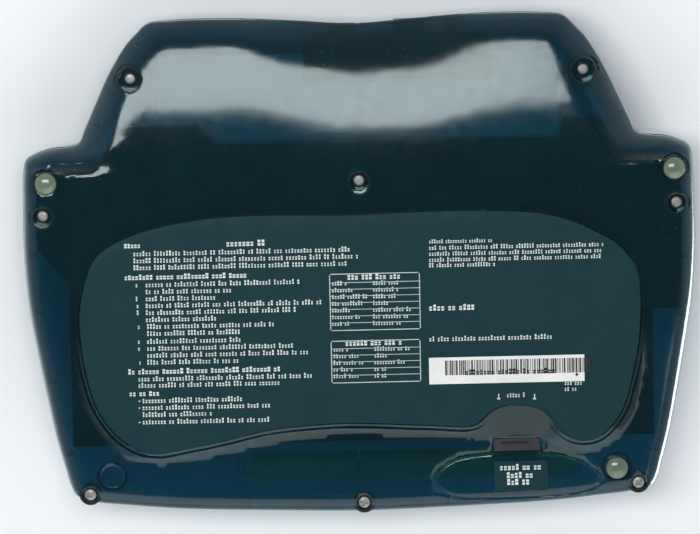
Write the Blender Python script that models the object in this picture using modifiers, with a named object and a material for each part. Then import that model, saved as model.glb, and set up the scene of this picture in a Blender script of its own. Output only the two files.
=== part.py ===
"""Electronic word processor in see-through plastic: slab case, keyboard, raised display, battery bay.

Metres, +Z up. It stands on its feet with the keys up and its rear edge towards +Y.
"""
import bpy
import bmesh
from math import cos, exp, hypot, pi, radians, sin, tan
from mathutils import Matrix, Vector

# Overall size and clearances
BODY_WIDTH = 0.311
BODY_DEPTH = 0.233
BODY_HEIGHT = 0.0445
HALF_WIDTH = BODY_WIDTH / 2
HALF_DEPTH = BODY_DEPTH / 2
GAP = 0.0003
OVERRUN = 0.004
FLAT_ANGLE = radians(0.5)

# Plan outline of the case, from the rear middle round to the front middle, as shares of the half sizes
OUTLINE_SHARES = (
    (0, 0.968), (0.17, 0.983), (0.32, 0.996), (0.445, 1), (0.55, 0.996), (0.614, 0.985), (0.648, 0.945),
    (0.682, 0.896), (0.732, 0.79), (0.773, 0.675), (0.8095, 0.568), (0.828, 0.515), (0.86, 0.503),
    (0.915, 0.495), (0.955, 0.478), (0.984, 0.455), (0.994, 0.41), (0.9985, 0.28), (1, 0.07),
    (0.99, -0.14), (0.97, -0.317), (0.946, -0.498), (0.92, -0.68), (0.895, -0.812), (0.882, -0.875),
    (0.866, -0.914), (0.82, -0.938), (0.7, -0.958), (0.553, -0.976), (0.28, -0.991), (0, -1),
)
SMOOTH_REACH = 0.011

# Shell: wall, parting line, and the rounding of each half as inset against share of the height
WALL = 0.0024
PART_Z = 0.014
BOTTOM_ROUNDING = ((0, 1), (0.0007, 0.6), (0.0018, 0.32), (0.0036, 0.12), (0.0058, 0.03), (0.008, 0))
TOP_ROUNDING = ((0, 0), (0.0008, 0.5), (0.0024, 0.88), (0.0054, 1))
HUMP_SOFTEN_BOTTOM_SHARE = 1.3
HUMP_SOFTEN_TOP_SHARE = 0.8

# Underside: flat base, the step down to it round the front, and the rise under the hump
BASE_Z = 0.0015
FRONT_STEP = 0.0026
FRONT_STEP_START_Y = -0.0687 * BODY_DEPTH
FRONT_STEP_FULL_Y = -0.3348 * BODY_DEPTH
HUMP_START_Y = 0.2146 * BODY_DEPTH
HUMP_FULL_Y = 0.2833 * BODY_DEPTH
HUMP_SIDE_X = 0.4132 * BODY_WIDTH
HUMP_SIDE_BLEND = 0.0386 * BODY_WIDTH
HUMP_RISE = 0.008
HUMP_CUT_SHARES = (0.1, 0.26, 0.44, 0.62, 0.8)

# Key deck and the raised display
DECK_TILT = radians(2.5)
DECK_Y = -0.4077 * BODY_DEPTH
DECK_Z = 0.025
RAISE_FRONT_Y = 0.1459 * BODY_DEPTH
RAISE_SHARES = ((0, 0), (0.08, 0.14), (0.18, 0.38), (0.7, 1), (0.84, 1), (1, 0.82))
RAISE_SIDE_X = 0.4437 * BODY_WIDTH
RAISE_SIDE_BLEND = 0.0386 * BODY_WIDTH

# Places read from the photograph of the underside, in its pixels
PHOTO_CENTRE = (360, 268)
PHOTO_ROLL = radians(1.3)
PHOTO_MIDDLE_ROW = 1.5
PHOTO_HALF_WIDTH = 337
PHOTO_HALF_DEPTH = 249.5
LABEL_PIXELS = (
    (89, 267), (100, 252), (134, 234), (192, 220), (245, 215), (350, 213.5), (406, 211), (462, 209.4),
    (506, 210), (540, 212), (573, 220), (595, 230), (618, 243), (631, 257), (638, 267), (642, 300),
    (640, 345), (633, 383), (625, 410), (613, 428), (600, 439), (586, 442), (574, 440), (565, 435),
    (558, 428), (551, 419), (544, 412), (535, 408), (521, 406), (506, 407), (495, 411), (487, 418),
    (475, 427), (428, 427), (350, 425), (312, 427), (268, 432), (223, 443), (190, 450), (156, 456),
    (136, 452), (116, 439), (96, 412), (85, 379), (79, 341), (78, 312),
)
STEP_PIXELS = (
    (86, 265), (98, 249), (133, 231), (192, 217), (245, 212), (350, 210.5), (406, 208), (462, 206.4),
    (506, 207), (541, 209), (574, 217), (597, 227), (620, 240), (634, 255), (641, 266), (646, 300),
    (646, 345), (641, 387), (634, 418), (620, 438), (604, 449), (587, 454), (573, 454), (558, 452),
    (548, 446), (542, 439), (493, 439), (466, 439), (420, 436.5), (350, 434), (312, 438), (245, 450),
    (190, 462), (152, 465), (125, 459), (107, 443), (89, 419), (80, 385), (75, 345), (75, 310),
)
DOOR_PIXELS = (
    (436, 482), (443, 471), (455, 463), (475, 458), (494, 456), (494, 442), (542, 442), (542, 456),
    (562, 458), (583, 465), (598, 475), (603, 483), (598, 491), (582, 497), (560, 500), (535, 502),
    (490, 503), (462, 502), (446, 497), (437, 489),
)
BOARD_PIXELS = (
    (121.6, 128), (198.7, 127), (216.5, 145), (558.7, 137), (561, 118), (599, 117), (622, 152),
    (676, 160), (682, 200), (684, 310), (90, 310), (36, 252), (36, 172), (98, 164),
)
STANDOFF_PIXELS = ((103, 200), (272, 196), (446, 191), (615, 189), (130, 296), (600, 296))
HUMP_SCREW_PIXELS = ((131, 82), (582, 72))
REAR_SCREW_PIXELS = ((43, 217), (359, 181), (676, 202.5))
FRONT_SCREW_PIXELS = ((88, 498.5), (364.5, 506), (641, 485.5))
FOOT_PIXELS = {"rear_left_foot": (46.6, 184), "rear_right_foot": (673, 168), "front_right_foot": (619, 470)}
EMPTY_FOOT_PIXELS = (110, 480)
RIB_PIXELS = (
    (29, 194), (29, 260), (36, 316), (47, 386), (62, 460), (694, 200), (694, 260), (690, 320),
    (677, 386), (664, 454), (250, 516), (450, 512),
)
SERIAL_PIXELS = ((429, 357), (585, 381))
DOOR_LABEL_PIXELS = ((495, 464), (550, 493))

# Screws, their counterbores and the posts that they pull on
SCREW_HEAD_RADIUS = 0.0028
SCREW_HEAD_HEIGHT = 0.0018
SCREW_SHANK_RADIUS = 0.00125
SCREW_SHANK_LENGTH = 0.009
CROSS_LENGTH = 0.0034
CROSS_WIDTH = 0.0008
CROSS_DEPTH = 0.0009
SCREW_SIDES = 16
POST_SIDES = 12
BOSS_WALL = 0.0016
BOSS_FLANGE = 0.0018
BASE_SEAT_Z = 0.006
HUMP_SEAT_Z = 0.0118
RECESS_RADII = {"front": 0.0036, "rear": 0.0046, "hump": 0.0057}
POST_RADIUS = 0.0025
BOARD_HOLE_RADIUS = 0.0045

# Feet
FOOT_RADIUS = 0.0051
FOOT_SEAT_Z = 0.0049
FOOT_SIDE_Z = 0.0024
FOOT_BOSS_FLANGE = 0.0016
FOOT_STEPS = 18

# Wall ribs
RIB_THICKNESS = 0.0012
RIB_SET_BACK = 0.002
RIB_REACH = 0.0036
RIB_HEIGHT = 0.0038
RIB_TOP_MARGIN = 0.0006

# Boards and chips
BOARD_THICKNESS = 0.0016
BOARD_Z = 0.008
STANDOFF_RADIUS = 0.0026
PROCESSOR_SIZE = (0.024, 0.024, 0.0022)
PROCESSOR_PLACE = (0.03, 0.01)
MEMORY_SIZE = (0.018, 0.012, 0.0022)
MEMORY_PLACE = (-0.01, 0.012)
PORT_BOARD_SIZE = (0.086, 0.022, BOARD_THICKNESS)
PORT_BOARD_REAR = 0.0195
PORT_BOARD_PLACE = (-0.019, HALF_DEPTH - PORT_BOARD_REAR)
PORT_BOARD_Z = 0.0152
PORT_POST_RADIUS = 0.0022
PORT_POST_MARGIN = 0.004

# Sockets in the rear wall: place along X, outer size, and the hole a plug goes into
SOCKET_SET_BACK = 0.0016
USB_X = 0.006
USB_SIZE = (0.012, 0.014, 0.0108)
USB_CAVITY = (0.0086, 0.009, 0.0078)
PRINTER_X = -0.025
PRINTER_SIZE = (0.014, 0.0135, 0.0128)
PRINTER_BORE_RADIUS = 0.0046
PRINTER_BORE_DEPTH = 0.008
POWER_X = -0.0455
POWER_SIZE = (0.009, 0.0135, 0.0108)
POWER_BORE_RADIUS = 0.0031
POWER_PIN_RADIUS = 0.001
POWER_BORE_DEPTH = 0.009
SOCKET_SIDES = 16
SOCKET_HOLE_MARGIN = 0.0004

# Infrared window in the rear wall
INFRARED_X = 0.0675
INFRARED_WIDTH = 0.031
INFRARED_TOP_Z = 0.036
INFRARED_DROP = 0.012
INFRARED_THICKNESS = 0.0016
INFRARED_SET_BACK = 0.0024
INFRARED_ARC_POINTS = 12

# Display stack, measured in the plane of its sloping face
WINDOW_SIZE = (0.5338 * BODY_WIDTH, 0.1545 * BODY_DEPTH)
WINDOW_THICKNESS = 0.0018
WINDOW_SET_BACK = 0.0004
BEZEL_MARGIN = 0.004
BEZEL_LAP = (0.005, 0.003)
BEZEL_SIZE = tuple(size + 2 * BEZEL_MARGIN for size in WINDOW_SIZE)
BEZEL_OPENING = tuple(size - 2 * lap for size, lap in zip(WINDOW_SIZE, BEZEL_LAP))
BEZEL_THICKNESS = 0.003
GLASS_MARGIN = (0.002, 0.0025)
GLASS_SIZE = tuple(size + 2 * margin for size, margin in zip(WINDOW_SIZE, GLASS_MARGIN))
GLASS_THICKNESS = 0.0022
DISPLAY_BOARD_MARGIN = (0.0105, 0.007)
DISPLAY_BOARD_SIZE = tuple(size + 2 * margin for size, margin in zip(WINDOW_SIZE, DISPLAY_BOARD_MARGIN))
DISPLAY_BOSS_RADIUS = 0.0022
DISPLAY_BOSS_MARGIN = (0.0075, 0.0035)
DISPLAY_BOSS_PLACE = tuple(size / 2 + margin for size, margin in zip(WINDOW_SIZE, DISPLAY_BOSS_MARGIN))
WINDOW_CORNER = 0.003

# Keyboard: sizes along its own tilted plane
KEY_UNITS = 14.5
KEY_SIDE_MARGIN = 0.0221
KEY_PITCH = (BODY_WIDTH - 2 * KEY_SIDE_MARGIN) / KEY_UNITS
KEY_GAP = 0.0012
KEY_FRONT_MARGIN = 0.0355
KEY_FRONT_V = KEY_FRONT_MARGIN - HALF_DEPTH
TOP_ROW_SPACE = 0.004
TOP_ROW_DEPTH = 0.014
KEY_TOP = 0.0056
KEY_BOTTOM = -0.0019
KEY_TAPER_SIDE = 0.0022
KEY_TAPER_END = 0.0016
KEY_TRAVEL = 0.003
STEM_HALF = 0.002
STEM_BOTTOM = -0.0089
STEM_TOP = -0.0014
WEB_BOTTOM = -0.0012
WEB_TOP = -0.0002
WEB_WIDTH = 0.005
WIDE_KEY_UNITS = 2
KEYBOARD_WIDTH = KEY_UNITS * KEY_PITCH
KEY_ROWS = 5
KEY_RAISE_MARGIN = 0.005
KEY_BACK_V = RAISE_FRONT_Y - KEY_RAISE_MARGIN
ROW_PITCH = (KEY_BACK_V - KEY_FRONT_V - TOP_ROW_SPACE - TOP_ROW_DEPTH) / KEY_ROWS
WELL_MARGIN = 0.0007
WELL_CORNER = 0.002
FRAME_MARGIN = 0.0019
FRAME_RIM_TOP = -0.0033
FRAME_TOP = -0.0053
FRAME_THICKNESS = 0.0024
FRAME_WALL = 0.0015
DOME_SHEET_TOP = -0.013
DOME_SHEET_THICKNESS = 0.0008
DOME_HEIGHT = 0.0007
DOME_BASE_RADIUS = 0.0045
DOME_TIP_RADIUS = 0.003
DOME_SIDES = 5
MEMBRANE_THICKNESS = 0.0005
BACKPLATE_THICKNESS = 0.001

# Key groups: row from the front, left edge in key units, and the width of each cap in key units
KEY_GROUPS = {
    "modifier_keys": (0, 0, (1.5, 1.25, 1.5)),
    "space_bar": (0, 4.25, (6.25,)),
    "left_arrow_key": (0, 10.5, (1,)),
    "down_arrow_key": (0, 11.5, (1,)),
    "up_arrow_key": (0, 12.5, (1,)),
    "right_arrow_key": (0, 13.5, (1,)),
    "left_shift_key": (1, 0, (2.25,)),
    "lower_letter_keys": (1, 2.25, (1,) * 10),
    "right_shift_key": (1, 12.25, (2.25,)),
    "caps_lock_key": (2, 0, (1.75,)),
    "home_letter_keys": (2, 1.75, (1,) * 11),
    "return_key": (2, 12.75, (1.75,)),
    "tab_key": (3, 0, (1.5,)),
    "upper_letter_keys": (3, 1.5, (1,) * 13),
    "number_keys": (4, 0, (1,) * 13),
    "delete_key": (4, 13, (1.5,)),
    "on_off_key": (5, 0, (1,)),
    "file_keys": (5, 1.25, (1,) * 8),
    "command_keys": (5, 9.5, (1,) * 4),
    "send_key": (5, 13.5, (1,)),
}

# Batteries in line along the front
CELL_RADIUS = 0.00725
CELL_LENGTH = 0.0505
CELL_NUB_RADIUS = 0.00275
CELL_NUB_LENGTH = 0.001
CELL_COUNT = 3
CELL_ROW_X = -0.0235
CELL_FRONT_MARGIN = 0.0215
CELL_Y = CELL_FRONT_MARGIN - HALF_DEPTH
CELL_STEPS = 20
BAY_SPRING_LENGTH = 0.007
BAY_WALL = 0.0014
BAY_SIDE_CLEARANCE = 0.0005
BAY_END_LOW_Z = 0.008
BAY_SIDE_LOW_Z = 0.013
CONTACT_SIZE = (0.0005, 0.012, 0.01)
SPRING_WIRE = 0.0008
SPRING_WIDE_RADIUS = 0.0048
SPRING_NARROW_RADIUS = 0.0028
SPRING_TURNS = 4
SPRING_TURN_POINTS = 8

# Labels and ribbons
LABEL_THICKNESS = 0.00025
RIBBON_THICKNESS = 0.0003
KEY_RIBBON_X = 0.06
KEY_RIBBON_WIDTH = 0.03
KEY_RIBBON_REACH = 0.004
KEY_RIBBON_DROP_Y = 0.0395
KEY_RIBBON_END_Y = 0.046
DISPLAY_RIBBON_X = -0.06
DISPLAY_RIBBON_WIDTH = 0.02
DISPLAY_RIBBON_START_V = -0.012
DISPLAY_RIBBON_EDGE_V = -0.021
DISPLAY_RIBBON_MIDDLE = (0.0475, 0.016)
DISPLAY_RIBBON_END_Y = 0.056


# Colours
MATERIALS = {
    "case_plastic": ((0.01, 0.075, 0.1), 0.22, 0, 0.5),
    "window_plastic": ((0.03, 0.04, 0.05), 0.12, 0, 0.6),
    "screen_glass": ((0.3, 0.36, 0.25), 0.2, 0, 1),
    "metal": ((0.62, 0.62, 0.6), 0.35, 1, 1),
    "screw_metal": ((0.75, 0.74, 0.7), 0.25, 1, 1),
    "board_green": ((0.01, 0.06, 0.03), 0.4, 0, 1),
    "chip_black": ((0.02, 0.02, 0.022), 0.45, 0, 1),
    "socket_black": ((0.03, 0.03, 0.035), 0.5, 0, 1),
    "frame_black": ((0.025, 0.03, 0.035), 0.55, 0, 1),
    "dome_rubber": ((0.5, 0.5, 0.48), 0.7, 0, 1),
    "membrane_film": ((0.55, 0.6, 0.6), 0.4, 0, 1),
    "key_grey": ((0.05, 0.06, 0.07), 0.5, 0, 1),
    "key_teal": ((0.02, 0.13, 0.14), 0.5, 0, 1),
    "cell_green": ((0.08, 0.36, 0.16), 0.35, 0, 1),
    "foot_rubber": ((0.28, 0.33, 0.28), 0.3, 0, 1),
    "label_teal": ((0.012, 0.07, 0.075), 0.4, 0, 1),
    "label_white": ((0.85, 0.86, 0.84), 0.45, 0, 1),
    "ribbon_film": ((0.75, 0.75, 0.72), 0.4, 0, 1),
}


def clear_scene():
    for item in list(bpy.data.objects):
        bpy.data.objects.remove(item, do_unlink=True)


def add_collection(name):
    made = bpy.data.collections.new(name)
    bpy.context.scene.collection.children.link(made)
    return made


def add_material(name):
    colour, roughness, metallic, alpha = MATERIALS[name]
    made = bpy.data.materials.new(name)
    made.use_nodes = True
    surface = made.node_tree.nodes["Principled BSDF"]
    surface.inputs["Base Color"].default_value = (*colour, 1)
    surface.inputs["Roughness"].default_value = roughness
    surface.inputs["Metallic"].default_value = metallic
    surface.inputs["Alpha"].default_value = alpha
    return made


clear_scene()
PARTS = add_collection("word_processor")
CUTTERS = add_collection("cutters")
FINISHES = {name: add_material(name) for name in MATERIALS}


def keep(item, name, collection):
    """Names an object and puts it in one collection only."""
    item.name = name
    for home in list(item.users_collection):
        home.objects.unlink(item)
    collection.objects.link(item)
    if collection is CUTTERS:
        item.display_type = "WIRE"
        item.hide_render = True
    return item


def as_part(item, name, finish, parent=None):
    keep(item, name, PARTS)
    item.data.materials.clear()
    item.data.materials.append(FINISHES[finish])
    item.parent = parent
    return item


def as_cutter(item, name, parent=None):
    keep(item, name, CUTTERS)
    item.parent = parent
    return item


def mesh_object(name, mesh_data):
    made = bpy.data.meshes.new(name)
    mesh_data.to_mesh(made)
    mesh_data.free()
    item = bpy.data.objects.new(name, made)
    bpy.context.scene.collection.objects.link(item)
    return item


def box(centre, size):
    """A cube primitive brought to its size and place."""
    bpy.ops.mesh.primitive_cube_add(size=1)
    item = bpy.context.object
    item.data.transform(Matrix.Translation(centre) @ Matrix.Diagonal((*size, 1)))
    return item


def cylinder(x, y, low, high, radius, sides=SCREW_SIDES):
    bpy.ops.mesh.primitive_cylinder_add(vertices=sides, radius=radius, depth=high - low)
    item = bpy.context.object
    item.data.transform(Matrix.Translation((x, y, (low + high) / 2)))
    return item


def evaluated_mesh(item):
    """The object's mesh with its modifiers, as a new mesh."""
    bpy.context.view_layer.update()
    graph = bpy.context.evaluated_depsgraph_get()
    return bpy.data.meshes.new_from_object(item.evaluated_get(graph))


def prism(points, low, high):
    """A flat outline given thickness: a filled 2D curve with half its thickness as extrusion."""
    curve = bpy.data.curves.new("outline", "CURVE")
    curve.dimensions = "2D"
    curve.fill_mode = "BOTH"
    curve.extrude = (high - low) / 2
    line = curve.splines.new("POLY")
    line.points.add(len(points) - 1)
    line.use_cyclic_u = True
    for point, (x, y) in zip(line.points, points):
        point.co = (x, y, 0, 1)
    drawn = bpy.data.objects.new("outline", curve)
    bpy.context.scene.collection.objects.link(drawn)
    mesh_data = bmesh.new()
    mesh_data.from_mesh(evaluated_mesh(drawn))
    bmesh.ops.remove_doubles(mesh_data, verts=mesh_data.verts, dist=GAP / 10)
    bmesh.ops.translate(mesh_data, verts=mesh_data.verts, vec=(0, 0, (low + high) / 2))
    bmesh.ops.recalc_face_normals(mesh_data, faces=mesh_data.faces)
    bpy.data.objects.remove(drawn, do_unlink=True)
    return mesh_object("prism", mesh_data)


def turned(profile, steps):
    """A profile of (radius, height) points swept round Z by a Screw modifier."""
    mesh_data = bmesh.new()
    points = [mesh_data.verts.new((radius, 0, height)) for radius, height in profile]
    for start, end in zip(points, points[1:]):
        mesh_data.edges.new((start, end))
    item = mesh_object("turned", mesh_data)
    sweep = item.modifiers.new("sweep", "SCREW")
    sweep.steps = steps
    sweep.render_steps = steps
    sweep.use_merge_vertices = True
    sweep.merge_threshold = GAP / 10
    return item


def joined(items, name):
    """Several objects' final meshes in one object; the originals are removed."""
    mesh_data = bmesh.new()
    for item in items:
        made = evaluated_mesh(item)
        made.transform(item.matrix_world)
        mesh_data.from_mesh(made)
        bpy.data.objects.remove(item, do_unlink=True)
    bmesh.ops.recalc_face_normals(mesh_data, faces=mesh_data.faces)
    return mesh_object(name, mesh_data)


def boolean(item, other, operation):
    step = item.modifiers.new(other.name, "BOOLEAN")
    step.object = other
    step.operation = operation
    step.solver = "EXACT"
    return item


def merge_flat(item):
    """Joins faces that lie in one plane, which the cuts have split."""
    tidy = item.modifiers.new("flat_faces", "DECIMATE")
    tidy.decimate_type = "DISSOLVE"
    tidy.angle_limit = FLAT_ANGLE


def smooth_step(value, start, end):
    share = min(max((value - start) / (end - start), 0), 1)
    return share * share * (3 - 2 * share)


def table_value(table, place):
    """Reads a table of (place, value) pairs with straight lines between them."""
    for (start, low), (end, high) in zip(table, table[1:]):
        if place <= end:
            return low + (high - low) * max(place - start, 0) / (end - start)
    return table[-1][1]


def from_photo(pixel):
    """The plan place of a pixel of the underside's photograph."""
    across = pixel[0] - PHOTO_CENTRE[0]
    down = pixel[1] - PHOTO_CENTRE[1]
    turned_across = across * cos(PHOTO_ROLL) - down * sin(PHOTO_ROLL)
    turned_down = across * sin(PHOTO_ROLL) + down * cos(PHOTO_ROLL)
    return (
        -turned_across / PHOTO_HALF_WIDTH * HALF_WIDTH,
        (PHOTO_MIDDLE_ROW - turned_down) / PHOTO_HALF_DEPTH * HALF_DEPTH,
    )


def plan_outline():
    """The case's outline in plan, clockwise from the rear middle."""
    half = [(x * HALF_WIDTH, y * HALF_DEPTH) for x, y in OUTLINE_SHARES]
    return half + [(-x, y) for x, y in reversed(half[1:-1])]


def inward_directions(points):
    """A direction into the outline at each point, smoothed so that rings never cross at corners."""
    count = len(points)
    normals = []
    for place in range(count):
        before = points[place - 1]
        after = points[(place + 1) % count]
        along = Vector((after[0] - before[0], after[1] - before[1]))
        normals.append(Vector((along.y, -along.x)))
    smoothed = []
    for x, y in points:
        total = Vector((0, 0))
        for (other_x, other_y), normal in zip(points, normals):
            distance = hypot(other_x - x, other_y - y)
            total += normal * exp(-(distance / SMOOTH_REACH) ** 2)
        smoothed.append(total.normalized())
    return smoothed


def inset_outline(points, distance):
    """A closed outline moved inwards by a distance, whichever way round it runs."""
    area = sum(a[0] * b[1] - b[0] * a[1] for a, b in zip(points, points[1:] + points[:1]))
    side = 1 if area > 0 else -1
    moved = []
    for place, (x, y) in enumerate(points):
        before = points[place - 1]
        after = points[(place + 1) % len(points)]
        first = Vector((x - before[0], y - before[1])).normalized()
        second = Vector((after[0] - x, after[1] - y)).normalized()
        normal = Vector((-(first.y + second.y), first.x + second.x)).normalized() * side
        spread = max(normal.dot(Vector((-first.y, first.x)) * side), 0.5)
        moved.append((x + normal.x * distance / spread, y + normal.y * distance / spread))
    return moved


def hump_share(x, y):
    """1 where the narrower rear of the case is, 0 on the rest."""
    along = smooth_step(y, HUMP_START_Y, HUMP_FULL_Y)
    return along * (1 - smooth_step(abs(x), HUMP_SIDE_X, HUMP_SIDE_X + HUMP_SIDE_BLEND))


def floor_z(x, y, label_share=0):
    """Height of the outside of the underside, before its edges are rounded."""
    step = FRONT_STEP * smooth_step(-y, -FRONT_STEP_START_Y, -FRONT_STEP_FULL_Y) * (1 - label_share)
    back = max(y - HUMP_START_Y, 0) / (HALF_DEPTH - HUMP_START_Y)
    return BASE_Z + step + HUMP_RISE * back * back


def deck_z(y):
    return DECK_Z + (y - DECK_Y) * tan(DECK_TILT)


def roof_z(x, y):
    """Height of the outside of the top case, before its edges are rounded."""
    back = (y - RAISE_FRONT_Y) / (HALF_DEPTH - RAISE_FRONT_Y)
    if back <= 0:
        return deck_z(y)
    level = deck_z(RAISE_FRONT_Y)
    side = 1 - smooth_step(abs(x), RAISE_SIDE_X, RAISE_SIDE_X + RAISE_SIDE_BLEND)
    return level + (BODY_HEIGHT - level) * table_value(RAISE_SHARES, back) * side


def rings(mesh_data, rounding, soften_share, share_layer, wall):
    """Loops of the plan outline, each further in, tagged with its share of the wall's height."""
    points = plan_outline()
    inwards = inward_directions(points)
    loops = []
    for inset, share in rounding:
        loop = []
        for (x, y), inward in zip(points, inwards):
            reach = wall + inset * (1 + soften_share * hump_share(x, y))
            corner = mesh_data.verts.new((x + inward.x * reach, y + inward.y * reach, 0))
            corner[share_layer] = share
            loop.append(corner)
        loops.append(loop)
    for outer, inner in zip(loops, loops[1:]):
        for place in range(len(outer)):
            after = (place + 1) % len(outer)
            mesh_data.faces.new((outer[place], outer[after], inner[after], inner[place]))
    return loops


def loop_edges(mesh_data, loop):
    pairs = zip(loop, loop[1:] + loop[:1])
    return [mesh_data.edges.get(pair) or mesh_data.edges.new(pair) for pair in pairs]


def cut_across(mesh_data, place, normal, front_y=-HALF_DEPTH):
    """Adds edges where a plane crosses the faces that lie behind a place along Y."""
    faces = [face for face in mesh_data.faces if face.calc_center_median().y > front_y]
    crossed = {edge for face in faces for edge in face.edges} | {corner for face in faces for corner in face.verts}
    geometry = list(crossed) + faces
    bmesh.ops.bisect_plane(mesh_data, geom=geometry, dist=GAP / 10, plane_co=place, plane_no=normal)


def face_all(mesh_data, downwards):
    """Turns the skin's faces so that its flat middle faces down or up."""
    bmesh.ops.recalc_face_normals(mesh_data, faces=mesh_data.faces)
    middle = max(mesh_data.faces, key=lambda face: face.calc_area())
    if (middle.normal.z < 0) != downwards:
        bmesh.ops.reverse_faces(mesh_data, faces=mesh_data.faces)


def bottom_skin(wall):
    """The underside's surface at a depth into its wall, open at the parting line."""
    mesh_data = bmesh.new()
    wall_share = mesh_data.verts.layers.float.new("wall_share")
    label_share = mesh_data.verts.layers.float.new("label_share")
    loops = rings(mesh_data, BOTTOM_ROUNDING, HUMP_SOFTEN_BOTTOM_SHARE, wall_share, wall)
    step_loop = [mesh_data.verts.new((*from_photo(pixel), 0)) for pixel in STEP_PIXELS]
    label_loop = [mesh_data.verts.new((*from_photo(pixel), 0)) for pixel in LABEL_PIXELS]
    for corner in label_loop:
        corner[label_share] = 1
    for outer, inner in ((loops[-1], step_loop), (step_loop, label_loop)):
        edges = loop_edges(mesh_data, outer) + loop_edges(mesh_data, inner)
        bmesh.ops.triangle_fill(mesh_data, use_beauty=True, edges=edges, normal=(0, 0, -1))
    mesh_data.faces.new(label_loop)
    for share in HUMP_CUT_SHARES:
        cut_across(mesh_data, (0, HUMP_START_Y + share * (HALF_DEPTH - HUMP_START_Y), 0), (0, 1, 0))
    face_all(mesh_data, True)
    for corner in mesh_data.verts:
        low = floor_z(corner.co.x, corner.co.y, corner[label_share]) + wall
        corner.co.z = low + (PART_Z - low) * corner[wall_share]
    return mesh_data


def top_skin(wall):
    """The key side's surface at a depth into its wall, open at the parting line."""
    mesh_data = bmesh.new()
    wall_share = mesh_data.verts.layers.float.new("wall_share")
    loops = rings(mesh_data, TOP_ROUNDING, HUMP_SOFTEN_TOP_SHARE, wall_share, wall)
    mesh_data.faces.new(loops[-1])
    for share, _ in RAISE_SHARES[:-1]:
        cut_across(mesh_data, (0, RAISE_FRONT_Y + share * (HALF_DEPTH - RAISE_FRONT_Y), 0), (0, 1, 0))
    for side in (-1, 1):
        for reach in (0, RAISE_SIDE_BLEND / 2, RAISE_SIDE_BLEND):
            cut_across(mesh_data, (side * (RAISE_SIDE_X + reach), 0, 0), (1, 0, 0), RAISE_FRONT_Y)
    face_all(mesh_data, False)
    start = PART_Z + GAP
    for corner in mesh_data.verts:
        high = roof_z(corner.co.x, corner.co.y) - wall
        corner.co.z = start + (high - start) * corner[wall_share]
    return mesh_data


def closed_solid(mesh_data, level):
    """The skin with its open rim carried straight to a level, if one is given, and closed there."""
    if level is not None:
        rim = [edge for edge in mesh_data.edges if edge.is_boundary]
        made = bmesh.ops.extrude_edge_only(mesh_data, edges=rim)["geom"]
        for corner in (item for item in made if isinstance(item, bmesh.types.BMVert)):
            corner.co.z = level
    last = [edge for edge in mesh_data.edges if edge.is_boundary]
    bmesh.ops.contextual_create(mesh_data, geom=last)
    bmesh.ops.recalc_face_normals(mesh_data, faces=mesh_data.faces)
    bmesh.ops.triangulate(mesh_data, faces=mesh_data.faces)
    return mesh_object("solid", mesh_data)


def shell(skin, level, name):
    """A half of the case: its outer solid, hollowed by the same skin a wall's thickness further in."""
    item = closed_solid(skin(0), None)
    return boolean(item, as_cutter(closed_solid(skin(WALL), level), name + "_hollow"), "DIFFERENCE")


def rear_edge_y(x):
    """The outline's rear edge at a place across the case."""
    rear = [(x_share * HALF_WIDTH, y_share * HALF_DEPTH) for x_share, y_share in OUTLINE_SHARES[:6]]
    return table_value(rear, abs(x))


def screw_sites():
    """Every case screw as (name, x, y, counterbore radius, seat height)."""
    sites = []
    for group, pixels, seat in (
        ("hump", HUMP_SCREW_PIXELS, HUMP_SEAT_Z),
        ("rear", REAR_SCREW_PIXELS, BASE_SEAT_Z),
        ("front", FRONT_SCREW_PIXELS, BASE_SEAT_Z),
    ):
        for number, pixel in enumerate(pixels, 1):
            sites.append((f"{group}_screw_{number}", *from_photo(pixel), RECESS_RADII[group], seat))
    return sites


def foot_sites():
    return {name: from_photo(pixel) for name, pixel in FOOT_PIXELS.items()}


def port_post_sites():
    reach_x = PORT_BOARD_SIZE[0] / 2 - PORT_POST_MARGIN
    reach_y = PORT_BOARD_SIZE[1] / 2 - PORT_POST_MARGIN
    centre_x, centre_y = PORT_BOARD_PLACE
    return [(centre_x + side * reach_x, centre_y + end * reach_y) for side in (-1, 1) for end in (-1, 1)]


def wall_ribs():
    """Stiffening ribs on the inside of the side walls, square to the wall."""
    points = plan_outline()
    inwards = inward_directions(points)
    made = []
    for pixel in RIB_PIXELS:
        x, y = from_photo(pixel)
        nearest = min(range(len(points)), key=lambda place: hypot(points[place][0] - x, points[place][1] - y))
        before, after = points[nearest - 1], points[(nearest + 1) % len(points)]
        along = Vector((after[0] - before[0], after[1] - before[1], 0)).normalized()
        edge = Vector((*points[nearest], 0))
        offset = (Vector((x, y, 0)) - edge).dot(along)
        inward = Vector((*inwards[nearest], 0))
        foot = edge + along * offset
        high = PART_Z - RIB_TOP_MARGIN
        size = (RIB_REACH, RIB_THICKNESS, RIB_HEIGHT)
        rib = box((RIB_SET_BACK + RIB_REACH / 2, 0, 0), size)
        rib.data.transform(Matrix.Rotation(inward.to_2d().angle_signed(Vector((1, 0))), 4, "Z"))
        rib.data.transform(Matrix.Translation((foot.x, foot.y, high - RIB_HEIGHT / 2)))
        made.append(rib)
    return joined(made, "wall_ribs")


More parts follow.
